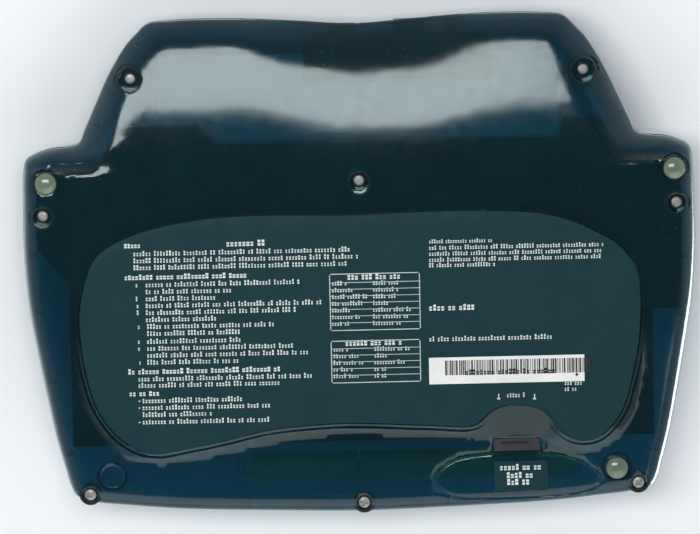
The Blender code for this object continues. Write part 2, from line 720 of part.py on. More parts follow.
def bottom_bosses():
    """Solids inside the bottom case: screw bosses, foot seats, standoffs and port board posts."""
    made = []
    for _, x, y, radius, seat in screw_sites():
        made.append(cylinder(x, y, 0, seat + BOSS_FLANGE, radius + BOSS_WALL))
    for x, y in [*foot_sites().values(), from_photo(EMPTY_FOOT_PIXELS)]:
        made.append(cylinder(x, y, 0, FOOT_SEAT_Z + FOOT_BOSS_FLANGE, FOOT_RADIUS + BOSS_WALL))
    for x, y in map(from_photo, STANDOFF_PIXELS):
        low = floor_z(x, y) + WALL / 2
        made.append(cylinder(x, y, low, BOARD_Z - GAP, STANDOFF_RADIUS, POST_SIDES))
    for x, y in port_post_sites():
        low = floor_z(x, y) + WALL / 2
        made.append(cylinder(x, y, low, PORT_BOARD_Z - GAP, PORT_POST_RADIUS, POST_SIDES))
    return joined(made, "bottom_bosses")


def counterbore(x, y, radius, seat):
    """A stepped hole: the head's recess from below, the shank's hole, and room for the post above."""
    hole = SCREW_SHANK_RADIUS + GAP
    cutter = turned(
        (
            (0, PART_Z + OVERRUN),
            (POST_RADIUS + GAP, PART_Z + OVERRUN),
            (POST_RADIUS + GAP, seat + BOSS_FLANGE),
            (hole, seat + BOSS_FLANGE),
            (hole, seat),
            (radius, seat),
            (radius, -OVERRUN),
            (0, -OVERRUN),
        ),
        SCREW_SIDES,
    )
    cutter.location = (x, y, 0)
    return cutter


def bottom_cuts():
    """Everything cut from the bottom case from below."""
    made = [counterbore(x, y, radius, seat) for _, x, y, radius, seat in screw_sites()]
    for x, y in [*foot_sites().values(), from_photo(EMPTY_FOOT_PIXELS)]:
        made.append(cylinder(x, y, -OVERRUN, FOOT_SEAT_Z, FOOT_RADIUS + GAP, FOOT_STEPS))
    made.append(prism([from_photo(pixel) for pixel in DOOR_PIXELS], -OVERRUN, PART_Z))
    recess = BASE_Z + LABEL_THICKNESS + GAP
    made.append(prism(inset_outline([from_photo(pixel) for pixel in LABEL_PIXELS], GAP), -OVERRUN, recess))
    return joined(made, "bottom_cuts")


def make_bottom_case():
    trim = as_cutter(closed_solid(bottom_skin(WALL / 2), BODY_HEIGHT), "bottom_trim")
    bosses = boolean(as_cutter(bottom_bosses(), "bottom_bosses"), trim, "INTERSECT")
    ribs = as_cutter(wall_ribs(), "wall_ribs")
    case = as_part(shell(bottom_skin, BODY_HEIGHT, "bottom"), "bottom_case", "case_plastic")
    boolean(case, bosses, "UNION")
    boolean(case, ribs, "UNION")
    boolean(case, as_cutter(bottom_cuts(), "bottom_cuts"), "DIFFERENCE")
    merge_flat(case)


def make_battery_door():
    points = inset_outline([from_photo(pixel) for pixel in DOOR_PIXELS], GAP)
    keep_inside = as_cutter(prism(points, -OVERRUN, PART_Z), "door_outline")
    door = as_part(shell(bottom_skin, BODY_HEIGHT, "door"), "battery_door", "case_plastic")
    boolean(door, keep_inside, "INTERSECT")
    merge_flat(door)
    hinge_y = min(y for _, y in points)
    hinge = (0, hinge_y, floor_z(0, hinge_y))
    door.data.transform(Matrix.Translation((-hinge[0], -hinge[1], -hinge[2])))
    door.location = hinge
    print("battery_door hinge axis along X at", hinge)


def rounded_rectangle(width, depth, radius, centre_y=0, arc_points=4):
    points = []
    for quarter, (side, end) in enumerate(((1, 1), (-1, 1), (-1, -1), (1, -1))):
        for step in range(arc_points):
            angle = (quarter + step / (arc_points - 1)) * pi / 2
            corner_x = side * (width / 2 - radius)
            corner_y = end * (depth / 2 - radius)
            points.append((corner_x + radius * cos(angle), centre_y + corner_y + radius * sin(angle)))
    return points


def make_tilted_frames():
    """Empties that carry the keyboard and the display in their own sloping planes."""
    keyboard = bpy.data.objects.new("keyboard_plane", None)
    keyboard.location = (0, 0, deck_z(0))
    keyboard.rotation_euler = (DECK_TILT, 0, 0)
    PARTS.objects.link(keyboard)
    low_y, high_y = [
        RAISE_FRONT_Y + RAISE_SHARES[place][0] * (HALF_DEPTH - RAISE_FRONT_Y) for place in (2, 3)
    ]
    slope = (roof_z(0, high_y) - roof_z(0, low_y)) / (high_y - low_y)
    display = bpy.data.objects.new("display_plane", None)
    middle = (low_y + high_y) / 2
    display.location = (0, middle, (roof_z(0, low_y) + roof_z(0, high_y)) / 2)
    display.rotation_euler = (Vector((1, slope)).angle(Vector((1, 0))), 0, 0)
    PARTS.objects.link(display)
    bpy.context.view_layer.update()
    return keyboard, display


def key_row_place(row):
    """Middle and depth of a key row along the keyboard's plane."""
    if row < KEY_ROWS:
        return KEY_FRONT_V + (row + 0.5) * ROW_PITCH, ROW_PITCH
    return KEY_BACK_V - TOP_ROW_DEPTH / 2, TOP_ROW_DEPTH


def key_places(row, start, widths):
    """Each cap of a group as (x, v, width, depth)."""
    v, depth = key_row_place(row)
    places = []
    edge = start
    for width in widths:
        x = (edge + width / 2) * KEY_PITCH - KEYBOARD_WIDTH / 2
        places.append((x, v, width * KEY_PITCH, depth))
        edge += width
    return places


def stem_places(places):
    """Where the stems of a group of caps go: two under a wide cap, one under each other cap."""
    stems = []
    for x, v, width, _ in places:
        reach = width / 2 - KEY_PITCH / 2
        wide = width > WIDE_KEY_UNITS * KEY_PITCH
        stems += [(x + side * reach, v) for side in (-1, 1)] if wide else [(x, v)]
    return stems


def all_stems():
    return [stem for group in KEY_GROUPS.values() for stem in stem_places(key_places(*group))]


def key_cap(x, v, width, depth):
    """A cube primitive with its top drawn in."""
    cap = box((0, 0, 0), (width - KEY_GAP, depth - KEY_GAP, KEY_TOP - KEY_BOTTOM))
    for corner in cap.data.vertices:
        if corner.co.z > 0:
            corner.co.x -= KEY_TAPER_SIDE * (1 if corner.co.x > 0 else -1)
            corner.co.y -= KEY_TAPER_END * (1 if corner.co.y > 0 else -1)
    cap.data.transform(Matrix.Translation((x, v, (KEY_TOP + KEY_BOTTOM) / 2)))
    return cap


def make_keys(plane):
    for name, group in KEY_GROUPS.items():
        places = key_places(*group)
        caps = joined([key_cap(*place) for place in places], name)
        finish = "key_teal" if group[0] == KEY_ROWS or len(places) == 1 else "key_grey"
        keys = as_part(caps, name, finish, plane)
        carriers = [
            box((x, v, (STEM_TOP + STEM_BOTTOM) / 2), (2 * STEM_HALF, 2 * STEM_HALF, STEM_TOP - STEM_BOTTOM))
            for x, v in stem_places(places)
        ]
        if len(places) > 1:
            start, end = places[0][0], places[-1][0]
            web = ((start + end) / 2, places[0][1], (WEB_TOP + WEB_BOTTOM) / 2)
            carriers.append(box(web, (end - start, WEB_WIDTH, WEB_TOP - WEB_BOTTOM)))
        stems = as_cutter(joined(carriers, name + "_stems"), name + "_stems", plane)
        boolean(keys, stems, "UNION")


def keyboard_rectangle(margin):
    """Centre and size, along the keyboard's plane, of the key field with a margin round it."""
    centre = (KEY_FRONT_V + KEY_BACK_V) / 2
    return centre, KEYBOARD_WIDTH + 2 * margin, KEY_BACK_V - KEY_FRONT_V + 2 * margin


def make_keyboard(plane):
    """Frame, dome sheet, membrane and backplate, one below the other."""
    centre, width, depth = keyboard_rectangle(FRAME_MARGIN)
    frame_bottom = DOME_SHEET_TOP + GAP
    height = FRAME_RIM_TOP - frame_bottom
    body = box((0, centre, (FRAME_RIM_TOP + frame_bottom) / 2), (width, depth, height))
    frame = as_part(body, "keyboard_frame", "frame_black", plane)
    plate_bottom = FRAME_TOP - FRAME_THICKNESS
    inner = (width - 2 * FRAME_WALL, depth - 2 * FRAME_WALL)
    upper = box((0, centre, FRAME_TOP + OVERRUN / 2), (*inner, OVERRUN))
    under_height = plate_bottom - frame_bottom + OVERRUN
    under = box((0, centre, plate_bottom - under_height / 2), (*inner, under_height))
    boolean(frame, as_cutter(joined([upper, under], "frame_hollows"), "frame_hollows", plane), "DIFFERENCE")
    hole = 2 * (STEM_HALF + GAP)
    depth_of_hole = FRAME_THICKNESS + 2 * GAP
    middle = FRAME_TOP - FRAME_THICKNESS / 2
    holes = [box((x, v, middle), (hole, hole, depth_of_hole)) for x, v in all_stems()]
    boolean(frame, as_cutter(joined(holes, "stem_holes"), "stem_holes", plane), "DIFFERENCE")

    sheet_middle = DOME_SHEET_TOP - DOME_SHEET_THICKNESS / 2
    sheet = box((0, centre, sheet_middle), (width, depth, DOME_SHEET_THICKNESS))
    as_part(sheet, "dome_sheet", "dome_rubber", plane)
    domes = []
    for x, v in all_stems():
        bpy.ops.mesh.primitive_cone_add(
            vertices=DOME_SIDES,
            radius1=DOME_BASE_RADIUS,
            radius2=DOME_TIP_RADIUS,
            depth=DOME_HEIGHT + DOME_SHEET_THICKNESS / 2,
        )
        domes.append(bpy.context.object)
        domes[-1].data.transform(Matrix.Translation((x, v, (sheet_middle + DOME_SHEET_TOP + DOME_HEIGHT) / 2)))
    boolean(sheet, as_cutter(joined(domes, "domes"), "domes", plane), "UNION")

    membrane_top = DOME_SHEET_TOP - DOME_SHEET_THICKNESS - GAP
    film = box((0, centre, membrane_top - MEMBRANE_THICKNESS / 2), (width, depth, MEMBRANE_THICKNESS))
    as_part(film, "membrane_sheet", "membrane_film", plane)
    plate_top = membrane_top - MEMBRANE_THICKNESS - GAP
    plate = box((0, centre, plate_top - BACKPLATE_THICKNESS / 2), (width, depth, BACKPLATE_THICKNESS))
    as_part(plate, "keyboard_backplate", "metal", plane)
    return membrane_top - MEMBRANE_THICKNESS / 2


def display_levels():
    """Top of the window, bezel, glass and board, measured down from the display's face."""
    window = -WINDOW_SET_BACK
    bezel = -WALL - GAP
    glass = bezel - BEZEL_THICKNESS - GAP
    board = glass - GLASS_THICKNESS - GAP
    return window, bezel, glass, board


def make_display(plane):
    window, bezel, glass, board = display_levels()
    pane = prism(rounded_rectangle(*WINDOW_SIZE, WINDOW_CORNER), window - WINDOW_THICKNESS, window)
    as_part(pane, "display_window", "window_plastic", plane)
    ring = as_part(
        box((0, 0, bezel - BEZEL_THICKNESS / 2), (*BEZEL_SIZE, BEZEL_THICKNESS)), "display_bezel", "metal", plane
    )
    opening = box((0, 0, bezel - BEZEL_THICKNESS / 2), (*BEZEL_OPENING, BEZEL_THICKNESS + 2 * OVERRUN))
    boolean(ring, as_cutter(opening, "bezel_opening", plane), "DIFFERENCE")
    panel = box((0, 0, glass - GLASS_THICKNESS / 2), (*GLASS_SIZE, GLASS_THICKNESS))
    as_part(panel, "display_glass", "screen_glass", plane)
    carrier = box((0, 0, board - BOARD_THICKNESS / 2), (*DISPLAY_BOARD_SIZE, BOARD_THICKNESS))
    as_part(carrier, "display_board", "board_green", plane)
    return board - BOARD_THICKNESS


def display_bosses(plane):
    """Posts that hang from the display's face down to its board."""
    _, _, _, board = display_levels()
    reach_x, reach_v = DISPLAY_BOSS_PLACE
    made = []
    for side in (-1, 1):
        for end in (-1, 1):
            place = (side * reach_x, end * reach_v, board + GAP, -WALL / 2)
            post = cylinder(*place, DISPLAY_BOSS_RADIUS, POST_SIDES)
            post.data.transform(plane.matrix_world)
            made.append(post)
    return made


def cell_row_ends():
    half = (CELL_COUNT * CELL_LENGTH + (CELL_COUNT - 1) * GAP) / 2
    return CELL_ROW_X - half, CELL_ROW_X + half


def cell_axis_z():
    return BASE_Z + FRONT_STEP + WALL + GAP + CELL_RADIUS


def bay_walls():
    """Walls that hang from the deck round the row of cells."""
    low_x, high_x = cell_row_ends()
    contact_side = low_x - GAP - CONTACT_SIZE[0] - GAP - BAY_WALL / 2
    spring_side = high_x + GAP + BAY_SPRING_LENGTH + GAP + BAY_WALL / 2
    made = []
    for x in (contact_side, spring_side):
        high = deck_z(CELL_Y) - WALL / 2
        place = (x, CELL_Y, (BAY_END_LOW_Z + high) / 2)
        made.append(box(place, (BAY_WALL, 2 * CELL_RADIUS, high - BAY_END_LOW_Z)))
    length = spring_side - contact_side
    for side in (-1, 1):
        y = CELL_Y + side * (CELL_RADIUS + BAY_SIDE_CLEARANCE + BAY_WALL / 2)
        high = deck_z(y) - WALL / 2
        place = ((contact_side + spring_side) / 2, y, (BAY_SIDE_LOW_Z + high) / 2)
        made.append(box(place, (length, BAY_WALL, high - BAY_SIDE_LOW_Z)))
    return made


def screw_posts():
    """Posts of the top case, from its roof down to each screw boss."""
    return [
        cylinder(x, y, seat + BOSS_FLANGE + GAP, BODY_HEIGHT, POST_RADIUS, POST_SIDES)
        for _, x, y, _, seat in screw_sites()
    ]


def infrared_outline(margin):
    """Half an ellipse hanging from a straight top edge, in the plane of the rear wall."""
    half = INFRARED_WIDTH / 2 - margin
    drop = INFRARED_DROP - 2 * margin
    points = []
    for step in range(INFRARED_ARC_POINTS + 1):
        angle = pi * step / INFRARED_ARC_POINTS
        points.append((half * cos(angle), -margin - drop * sin(angle)))
    return points


def infrared_plate(margin, front, back):
    """The infrared outline stood up across the case, between two places along Y."""
    plate = prism(infrared_outline(margin), front, back)
    plate.data.transform(Matrix.Rotation(pi / 2, 4, "X"))
    plate.data.transform(Matrix.Translation((INFRARED_X, 0, INFRARED_TOP_Z)))
    return plate


def socket_specs():
    return {"usb_socket": (USB_X, USB_SIZE), "printer_socket": (PRINTER_X, PRINTER_SIZE),
            "power_jack": (POWER_X, POWER_SIZE)}


def socket_low_z():
    return PORT_BOARD_Z + BOARD_THICKNESS + GAP


def top_cuts(keyboard, display):
    """Everything cut from the top case."""
    made = []
    centre, width, depth = keyboard_rectangle(WELL_MARGIN)
    well = prism(rounded_rectangle(width, depth, WELL_CORNER, centre), -WALL - GAP / 2, OVERRUN)
    well.data.transform(keyboard.matrix_world)
    made.append(well)
    opening_size = (WINDOW_SIZE[0] + 2 * GAP, WINDOW_SIZE[1] + 2 * GAP)
    opening = prism(rounded_rectangle(*opening_size, WINDOW_CORNER), -WALL - GAP / 2, OVERRUN)
    opening.data.transform(display.matrix_world)
    made.append(opening)
    for x, size in socket_specs().values():
        margin = 2 * SOCKET_HOLE_MARGIN
        low = socket_low_z()
        place = (x, rear_edge_y(x), low + size[2] / 2)
        made.append(box(place, (size[0] + margin, 4 * OVERRUN, size[2] + margin)))
    rear = rear_edge_y(INFRARED_X)
    made.append(infrared_plate(0, -rear - 2 * OVERRUN, -rear + 2 * OVERRUN))
    return joined(made, "top_cuts")


def make_top_case(keyboard, display):
    trim = as_cutter(closed_solid(top_skin(WALL / 2), 0), "top_trim")
    inside = joined([*screw_posts(), *bay_walls(), *display_bosses(display)], "top_posts")
    posts = boolean(as_cutter(inside, "top_posts"), trim, "INTERSECT")
    case = as_part(shell(top_skin, 0, "top"), "top_case", "case_plastic")
    boolean(case, posts, "UNION")
    boolean(case, as_cutter(top_cuts(keyboard, display), "top_cuts"), "DIFFERENCE")
    holes = []
    for _, x, y, _, seat in screw_sites():
        low = seat + BOSS_FLANGE
        tip = seat + SCREW_SHANK_LENGTH + GAP
        holes.append(cylinder(x, y, low - GAP, tip, SCREW_SHANK_RADIUS + GAP, SCREW_SIDES // 2))
    boolean(case, as_cutter(joined(holes, "post_holes"), "post_holes"), "DIFFERENCE")
    merge_flat(case)


def make_screws():
    """Pan-head screws with a cross recess, heads down in their counterbores."""
    for name, x, y, _, seat in screw_sites():
        head_top = -GAP
        profile = (
            (0, SCREW_SHANK_LENGTH),
            (SCREW_SHANK_RADIUS * 0.5, SCREW_SHANK_LENGTH),
            (SCREW_SHANK_RADIUS, SCREW_SHANK_LENGTH - SCREW_SHANK_RADIUS),
            (SCREW_SHANK_RADIUS, head_top),
            (SCREW_HEAD_RADIUS, head_top),
            (SCREW_HEAD_RADIUS, head_top - SCREW_HEAD_HEIGHT * 0.5),
            (SCREW_HEAD_RADIUS * 0.8, head_top - SCREW_HEAD_HEIGHT * 0.86),
            (SCREW_HEAD_RADIUS * 0.4, head_top - SCREW_HEAD_HEIGHT),
            (0, head_top - SCREW_HEAD_HEIGHT),
        )
        screw = as_part(turned(profile, SCREW_SIDES), name, "screw_metal")
        screw.location = (x, y, seat)
        low = head_top - SCREW_HEAD_HEIGHT - CROSS_DEPTH
        height = 2 * CROSS_DEPTH
        long_arm = box((0, 0, low + height / 2), (CROSS_LENGTH, CROSS_WIDTH, height))
        cross = as_cutter(long_arm, name + "_cross", screw)
        short_arm = as_cutter(
            box((0, 0, low + height / 2), (CROSS_WIDTH, CROSS_LENGTH, height)), name + "_cross_arm", screw
        )
        boolean(screw, cross, "DIFFERENCE")
        boolean(screw, short_arm, "DIFFERENCE")


def make_feet():
    """Rubber domes in their recesses."""
    for name, (x, y) in foot_sites().items():
        top = FOOT_SEAT_Z - GAP
        profile = [(0, top), (FOOT_RADIUS, top), (FOOT_RADIUS, FOOT_SIDE_Z)]
        for angle in (radians(30), radians(60), radians(80)):
            profile.append((FOOT_RADIUS * cos(angle), FOOT_SIDE_Z * (1 - sin(angle))))
        profile.append((0, 0))
        foot = as_part(turned(profile, FOOT_STEPS), name, "foot_rubber")
        foot.location = (x, y, 0)


def make_main_board():
    outline = [from_photo(pixel) for pixel in BOARD_PIXELS]
    board = as_part(prism(outline, BOARD_Z, BOARD_Z + BOARD_THICKNESS), "main_board", "board_green")
    holes = []
    for name, x, y, _, _ in screw_sites():
        if name.startswith("rear"):
            holes.append(cylinder(x, y, BOARD_Z - OVERRUN, BOARD_Z + OVERRUN, BOARD_HOLE_RADIUS))
    boolean(board, as_cutter(joined(holes, "board_holes"), "board_holes"), "DIFFERENCE")
    top = BOARD_Z + BOARD_THICKNESS + GAP
    for name, size, (x, y) in (
        ("processor_chip", PROCESSOR_SIZE, PROCESSOR_PLACE),
        ("memory_chip", MEMORY_SIZE, MEMORY_PLACE),
    ):
        as_part(box((x, y, top + size[2] / 2), size), name, "chip_black")


def make_sockets():
    board_place = (*PORT_BOARD_PLACE, PORT_BOARD_Z + BOARD_THICKNESS / 2)
    as_part(box(board_place, PORT_BOARD_SIZE), "port_board", "board_green")
    for name, (x, size) in socket_specs().items():
        face = rear_edge_y(x) - SOCKET_SET_BACK
        place = (x, face - size[1] / 2, socket_low_z() + size[2] / 2)
        body = as_part(box((0, 0, 0), size), name, "socket_black")
        body.location = place
        half = size[1] / 2
        if name == "usb_socket":
            cavity = box((0, half, 0), (USB_CAVITY[0], 2 * USB_CAVITY[1], USB_CAVITY[2]))
        elif name == "printer_socket":
            cavity = cylinder(0, 0, -PRINTER_BORE_DEPTH, PRINTER_BORE_DEPTH, PRINTER_BORE_RADIUS, SOCKET_SIDES)
            cavity.data.transform(Matrix.Translation((0, half, 0)) @ Matrix.Rotation(pi / 2, 4, "X"))
        else:
            ring = (
                (POWER_PIN_RADIUS, POWER_BORE_DEPTH), (POWER_BORE_RADIUS, POWER_BORE_DEPTH),
                (POWER_BORE_RADIUS, -POWER_BORE_DEPTH), (POWER_PIN_RADIUS, -POWER_BORE_DEPTH),
                (POWER_PIN_RADIUS, POWER_BORE_DEPTH),
            )
            cavity = turned(ring, SOCKET_SIDES)
            cavity.rotation_euler = (pi / 2, 0, 0)
            cavity.location = (0, half, 0)
            cavity = joined([cavity], "jack_ring")
        boolean(body, as_cutter(cavity, name + "_cavity", body), "DIFFERENCE")
    rear = rear_edge_y(INFRARED_X) - INFRARED_SET_BACK
    as_part(infrared_plate(GAP, -rear, -rear + INFRARED_THICKNESS), "infrared_window", "window_plastic")


def make_cells():
    low_x, high_x = cell_row_ends()
    half = CELL_LENGTH / 2
    body_end = half - CELL_NUB_LENGTH
    profile = (
        (0, half), (CELL_NUB_RADIUS, half), (CELL_NUB_RADIUS, body_end), (CELL_RADIUS, body_end),
        (CELL_RADIUS, -half), (0, -half),
    )
    for number in range(CELL_COUNT):
        cell = as_part(turned(profile, CELL_STEPS), f"battery_cell_{number + 1}", "cell_green")
        cell.rotation_euler = (0, -pi / 2, 0)
        cell.location = (low_x + half + number * (CELL_LENGTH + GAP), CELL_Y, cell_axis_z())
    thickness = CONTACT_SIZE[0]
    plate = box((low_x - GAP - thickness / 2, CELL_Y, cell_axis_z()), CONTACT_SIZE)
    as_part(plate, "battery_contact", "metal")


def make_battery_spring():
    """A conical wire coil between the row of cells and the bay's end wall."""
    _, high_x = cell_row_ends()
    start = high_x + GAP + SPRING_WIRE / 2
    length = BAY_SPRING_LENGTH - SPRING_WIRE
    count = SPRING_TURNS * SPRING_TURN_POINTS
    points = []
    for step in range(count + 1):
        share = step / count
        radius = SPRING_NARROW_RADIUS + (SPRING_WIDE_RADIUS - SPRING_NARROW_RADIUS) * share
        angle = 2 * pi * step / SPRING_TURN_POINTS
        y = CELL_Y + radius * cos(angle)
        z = cell_axis_z() + radius * sin(angle)
        points.append(Vector((start + length * share, y, z)))
    curve = bpy.data.curves.new("battery_spring", "CURVE")
    curve.dimensions = "3D"
    curve.bevel_depth = SPRING_WIRE / 2
    curve.bevel_resolution = 1
    curve.use_fill_caps = True
    line = curve.splines.new("POLY")
    line.points.add(count)
    for point, place in zip(line.points, points):
        point.co = (*place, 1)
    spring = bpy.data.objects.new("battery_spring", curve)
    as_part(spring, "battery_spring", "metal")
    least = min(
        (points[later] - points[first]).length
        for first in range(count + 1)
        for later in range(first + SPRING_TURN_POINTS // 2, count + 1)
    )
    print("battery_spring least gap between turns", least - SPRING_WIRE)


def make_labels():
    outline = inset_outline([from_photo(pixel) for pixel in LABEL_PIXELS], 2 * GAP)
    as_part(prism(outline, BASE_Z, BASE_Z + LABEL_THICKNESS), "guide_label", "label_teal")
    for name, corners, level, finish in (
        ("serial_label", SERIAL_PIXELS, BASE_Z, "label_white"),
        ("door_label", DOOR_LABEL_PIXELS, BASE_Z + FRONT_STEP, "label_teal"),
    ):
        (first_x, first_y), (second_x, second_y) = map(from_photo, corners)
        centre = ((first_x + second_x) / 2, (first_y + second_y) / 2)
        high = level - GAP
        size = (abs(first_x - second_x), abs(first_y - second_y), LABEL_THICKNESS)
        as_part(box((*centre, high - LABEL_THICKNESS / 2), size), name, finish)


def make_ribbon(name, path, x, width):
    """A flat cable: a line of (y, z) points given its thickness and width."""
    upper, lower = [], []
    for place, (y, z) in enumerate(path):
        before = path[max(place - 1, 0)]
        after = path[min(place + 1, len(path) - 1)]
        along = Vector((after[0] - before[0], after[1] - before[1])).normalized()
        side = Vector((-along.y, along.x)) * RIBBON_THICKNESS / 2
        upper.append((y + side.x, z + side.y))
        lower.append((y - side.x, z - side.y))
    strip = prism(upper + lower[::-1], -width / 2, width / 2)
    strip.data.transform(Matrix.Rotation(pi / 2, 4, "Z") @ Matrix.Rotation(pi / 2, 4, "X"))
    strip.data.transform(Matrix.Translation((x, 0, 0)))
    as_part(strip, name, "ribbon_film")


def make_ribbons(keyboard, display, membrane_level, display_board_bottom):
    _, _, depth = keyboard_rectangle(FRAME_MARGIN)
    centre = (KEY_FRONT_V + KEY_BACK_V) / 2
    edge = keyboard.matrix_world @ Vector((0, centre + depth / 2 + GAP, membrane_level))
    rest = BOARD_Z + BOARD_THICKNESS + GAP + RIBBON_THICKNESS / 2
    key_path = [(edge.y, edge.z), (edge.y + KEY_RIBBON_REACH, edge.z), (KEY_RIBBON_DROP_Y, rest),
                (KEY_RIBBON_END_Y, rest)]
    make_ribbon("keyboard_ribbon", key_path, KEY_RIBBON_X, KEY_RIBBON_WIDTH)
    level = display_board_bottom - GAP - RIBBON_THICKNESS / 2
    start = display.matrix_world @ Vector((0, DISPLAY_RIBBON_START_V, level))
    bend = display.matrix_world @ Vector((0, DISPLAY_RIBBON_EDGE_V, level))
    display_path = [(start.y, start.z), (bend.y, bend.z), DISPLAY_RIBBON_MIDDLE,
                    (DISPLAY_RIBBON_MIDDLE[0] + KEY_RIBBON_REACH / 2, rest), (DISPLAY_RIBBON_END_Y, rest)]
    make_ribbon("display_ribbon", display_path, DISPLAY_RIBBON_X, DISPLAY_RIBBON_WIDTH)


def main():
    keyboard, display = make_tilted_frames()
    make_bottom_case()
    make_battery_door()
    make_top_case(keyboard, display)
    make_screws()
    make_feet()
    make_main_board()
    make_sockets()
    membrane_level = make_keyboard(keyboard)
    make_keys(keyboard)
    display_board_bottom = make_display(display)
    make_cells()
    make_battery_spring()
    make_labels()
    make_ribbons(keyboard, display, membrane_level, display_board_bottom)


main()
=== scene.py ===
import random
from math import atan2, cos, hypot, pi, radians, sin, tan

import bmesh
import bpy
import numpy as np
from mathutils import Matrix, Vector, geometry


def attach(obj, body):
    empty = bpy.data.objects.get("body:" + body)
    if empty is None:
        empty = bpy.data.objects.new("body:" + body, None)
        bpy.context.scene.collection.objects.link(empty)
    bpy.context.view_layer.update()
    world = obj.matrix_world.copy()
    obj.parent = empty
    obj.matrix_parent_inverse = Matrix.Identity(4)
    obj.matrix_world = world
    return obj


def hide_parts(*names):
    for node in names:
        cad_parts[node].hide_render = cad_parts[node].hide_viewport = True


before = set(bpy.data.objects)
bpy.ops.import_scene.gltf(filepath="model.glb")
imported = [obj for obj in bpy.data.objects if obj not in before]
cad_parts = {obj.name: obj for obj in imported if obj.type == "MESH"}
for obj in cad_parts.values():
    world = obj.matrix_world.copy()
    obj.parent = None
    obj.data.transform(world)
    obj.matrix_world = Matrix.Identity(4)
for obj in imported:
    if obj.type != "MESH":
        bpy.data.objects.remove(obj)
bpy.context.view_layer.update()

# Sizes repeated from the part's source, in metres
HALF_WIDTH = 0.1555
HALF_DEPTH = 0.1165
BODY_HEIGHT = 0.0445
GAP = 0.0003
WALL = 0.0022
PART_Z = 0.014
BASE_Z = 0.0015
FRONT_STEP = 0.0026
HUMP_START_Y = 0.05
HUMP_RISE = 0.008
HUMP_DIP = (0.009, 0.004)
DECK_TILT = radians(2.5)
DECK_Y = -0.095
DECK_Z = 0.025
RAISE_FRONT_Y = 0.034
RAISE_SHARES = ((0, 0), (0.08, 0.14), (0.18, 0.38), (0.7, 1), (0.84, 1), (1, 0.82))
OUTLINE_SHARES = (
    (0, 0.968), (0.17, 0.983), (0.32, 0.996), (0.445, 1), (0.55, 0.996), (0.614, 0.985), (0.648, 0.945),
    (0.682, 0.896), (0.732, 0.79), (0.773, 0.675), (0.8095, 0.568), (0.828, 0.515), (0.86, 0.503),
    (0.915, 0.495), (0.955, 0.478), (0.984, 0.455), (0.994, 0.41), (0.9985, 0.28), (1, 0.07),
    (0.99, -0.14), (0.97, -0.317), (0.946, -0.498), (0.92, -0.68), (0.895, -0.812), (0.882, -0.875),
    (0.866, -0.914), (0.82, -0.938), (0.7, -0.958), (0.553, -0.976), (0.28, -0.991), (0, -1),
)
BOTTOM_ROUNDING = (
    (0, 1), (0.0007, 0.6), (0.0018, 0.32), (0.0036, 0.12), (0.0058, 0.03), (0.008, 0),
)
TOP_ROUNDING = ((0, 0), (0.0008, 0.5), (0.0024, 0.88), (0.0054, 1))
BOTTOM_INSETS = (0.0003, 0.0007, 0.0012, 0.0018, 0.0026, 0.0036, 0.0047, 0.0058, 0.007, 0.0083)
TOP_INSETS = (0.0003, 0.0006, 0.0009, 0.0013, 0.0018, 0.0024, 0.0031, 0.004, 0.0048, 0.0057)

# Places read from the photograph, in its pixels
PHOTO_CENTRE = (360, 268)
PHOTO_ROLL = radians(1.3)
PHOTO_HALF_WIDTH = 337
PHOTO_HALF_DEPTH = 249.5
PHOTO_SHIFT = 1.5
PIXEL_WIDE = 0.0004614
PIXEL_DEEP = 0.000467
LABEL_PIXELS = (
    (89, 267), (100, 252), (134, 234), (192, 220), (245, 215), (350, 213.5), (406, 211), (462, 209.4),
    (506, 210), (540, 212), (573, 220), (595, 230), (618, 243), (631, 257), (638, 267), (642, 300),
    (640, 345), (633, 383), (625, 410), (613, 428), (600, 439), (586, 442), (574, 440), (565, 435),
    (558, 428), (551, 419), (544, 412), (535, 408), (521, 406), (506, 407), (495, 411), (487, 418),
    (475, 427), (428, 427), (350, 425), (312, 427), (268, 432), (223, 443), (190, 450), (156, 456),
    (136, 452), (116, 439), (96, 412), (85, 379), (79, 341), (78, 312),
)
STEP_PIXELS = (
    (86, 265), (98, 249), (133, 231), (192, 217), (245, 212), (350, 210.5), (406, 208), (462, 206.4),
    (506, 207), (541, 209), (574, 217), (597, 227), (620, 240), (634, 255), (641, 266), (646, 300),
    (646, 345), (641, 387), (634, 418), (620, 438), (604, 449), (587, 454), (573, 454), (558, 452),
    (548, 446), (542, 439), (493, 439), (466, 439), (420, 436.5), (350, 434), (312, 438), (245, 450),
    (190, 462), (152, 465), (125, 459), (107, 443), (89, 419), (80, 385), (75, 345), (75, 310),
)
DOOR_LENS_PIXELS = (
    (542, 456), (562, 458), (583, 465), (598, 475), (603, 483), (598, 491), (582, 497), (560, 500),
    (535, 502), (490, 503), (462, 502), (446, 497), (437, 489), (436, 482), (443, 471), (455, 463),
    (475, 458), (494, 456),
)
LATCH_PIXELS = ((494, 442), (542, 442))
HUMP_SCREW_PIXELS = ((131, 82), (582, 72))
REAR_SCREW_PIXELS = ((43, 217), (359, 181), (676, 202.5))
FRONT_SCREW_PIXELS = ((88, 498.5), (364.5, 506), (641, 485.5))
FOOT_PIXELS = {"rear_left_foot": (46.6, 184), "rear_right_foot": (673, 168), "front_right_foot": (619, 470)}
EMPTY_FOOT_PIXELS = (110, 480)
FOOT_SEAT_Z = 0.0049
RIB_PIXELS = (
    (29, 194), (29, 260), (36, 316), (47, 386), (62, 460), (694, 200), (694, 260), (690, 320), (677, 386),
    (664, 454), (250, 516), (450, 512), (109, 93), (96, 127), (603, 81), (619, 116), (134, 45), (571, 42),
)
STANDOFF_PIXELS = ((103, 200), (272, 196), (446, 191), (615, 189))
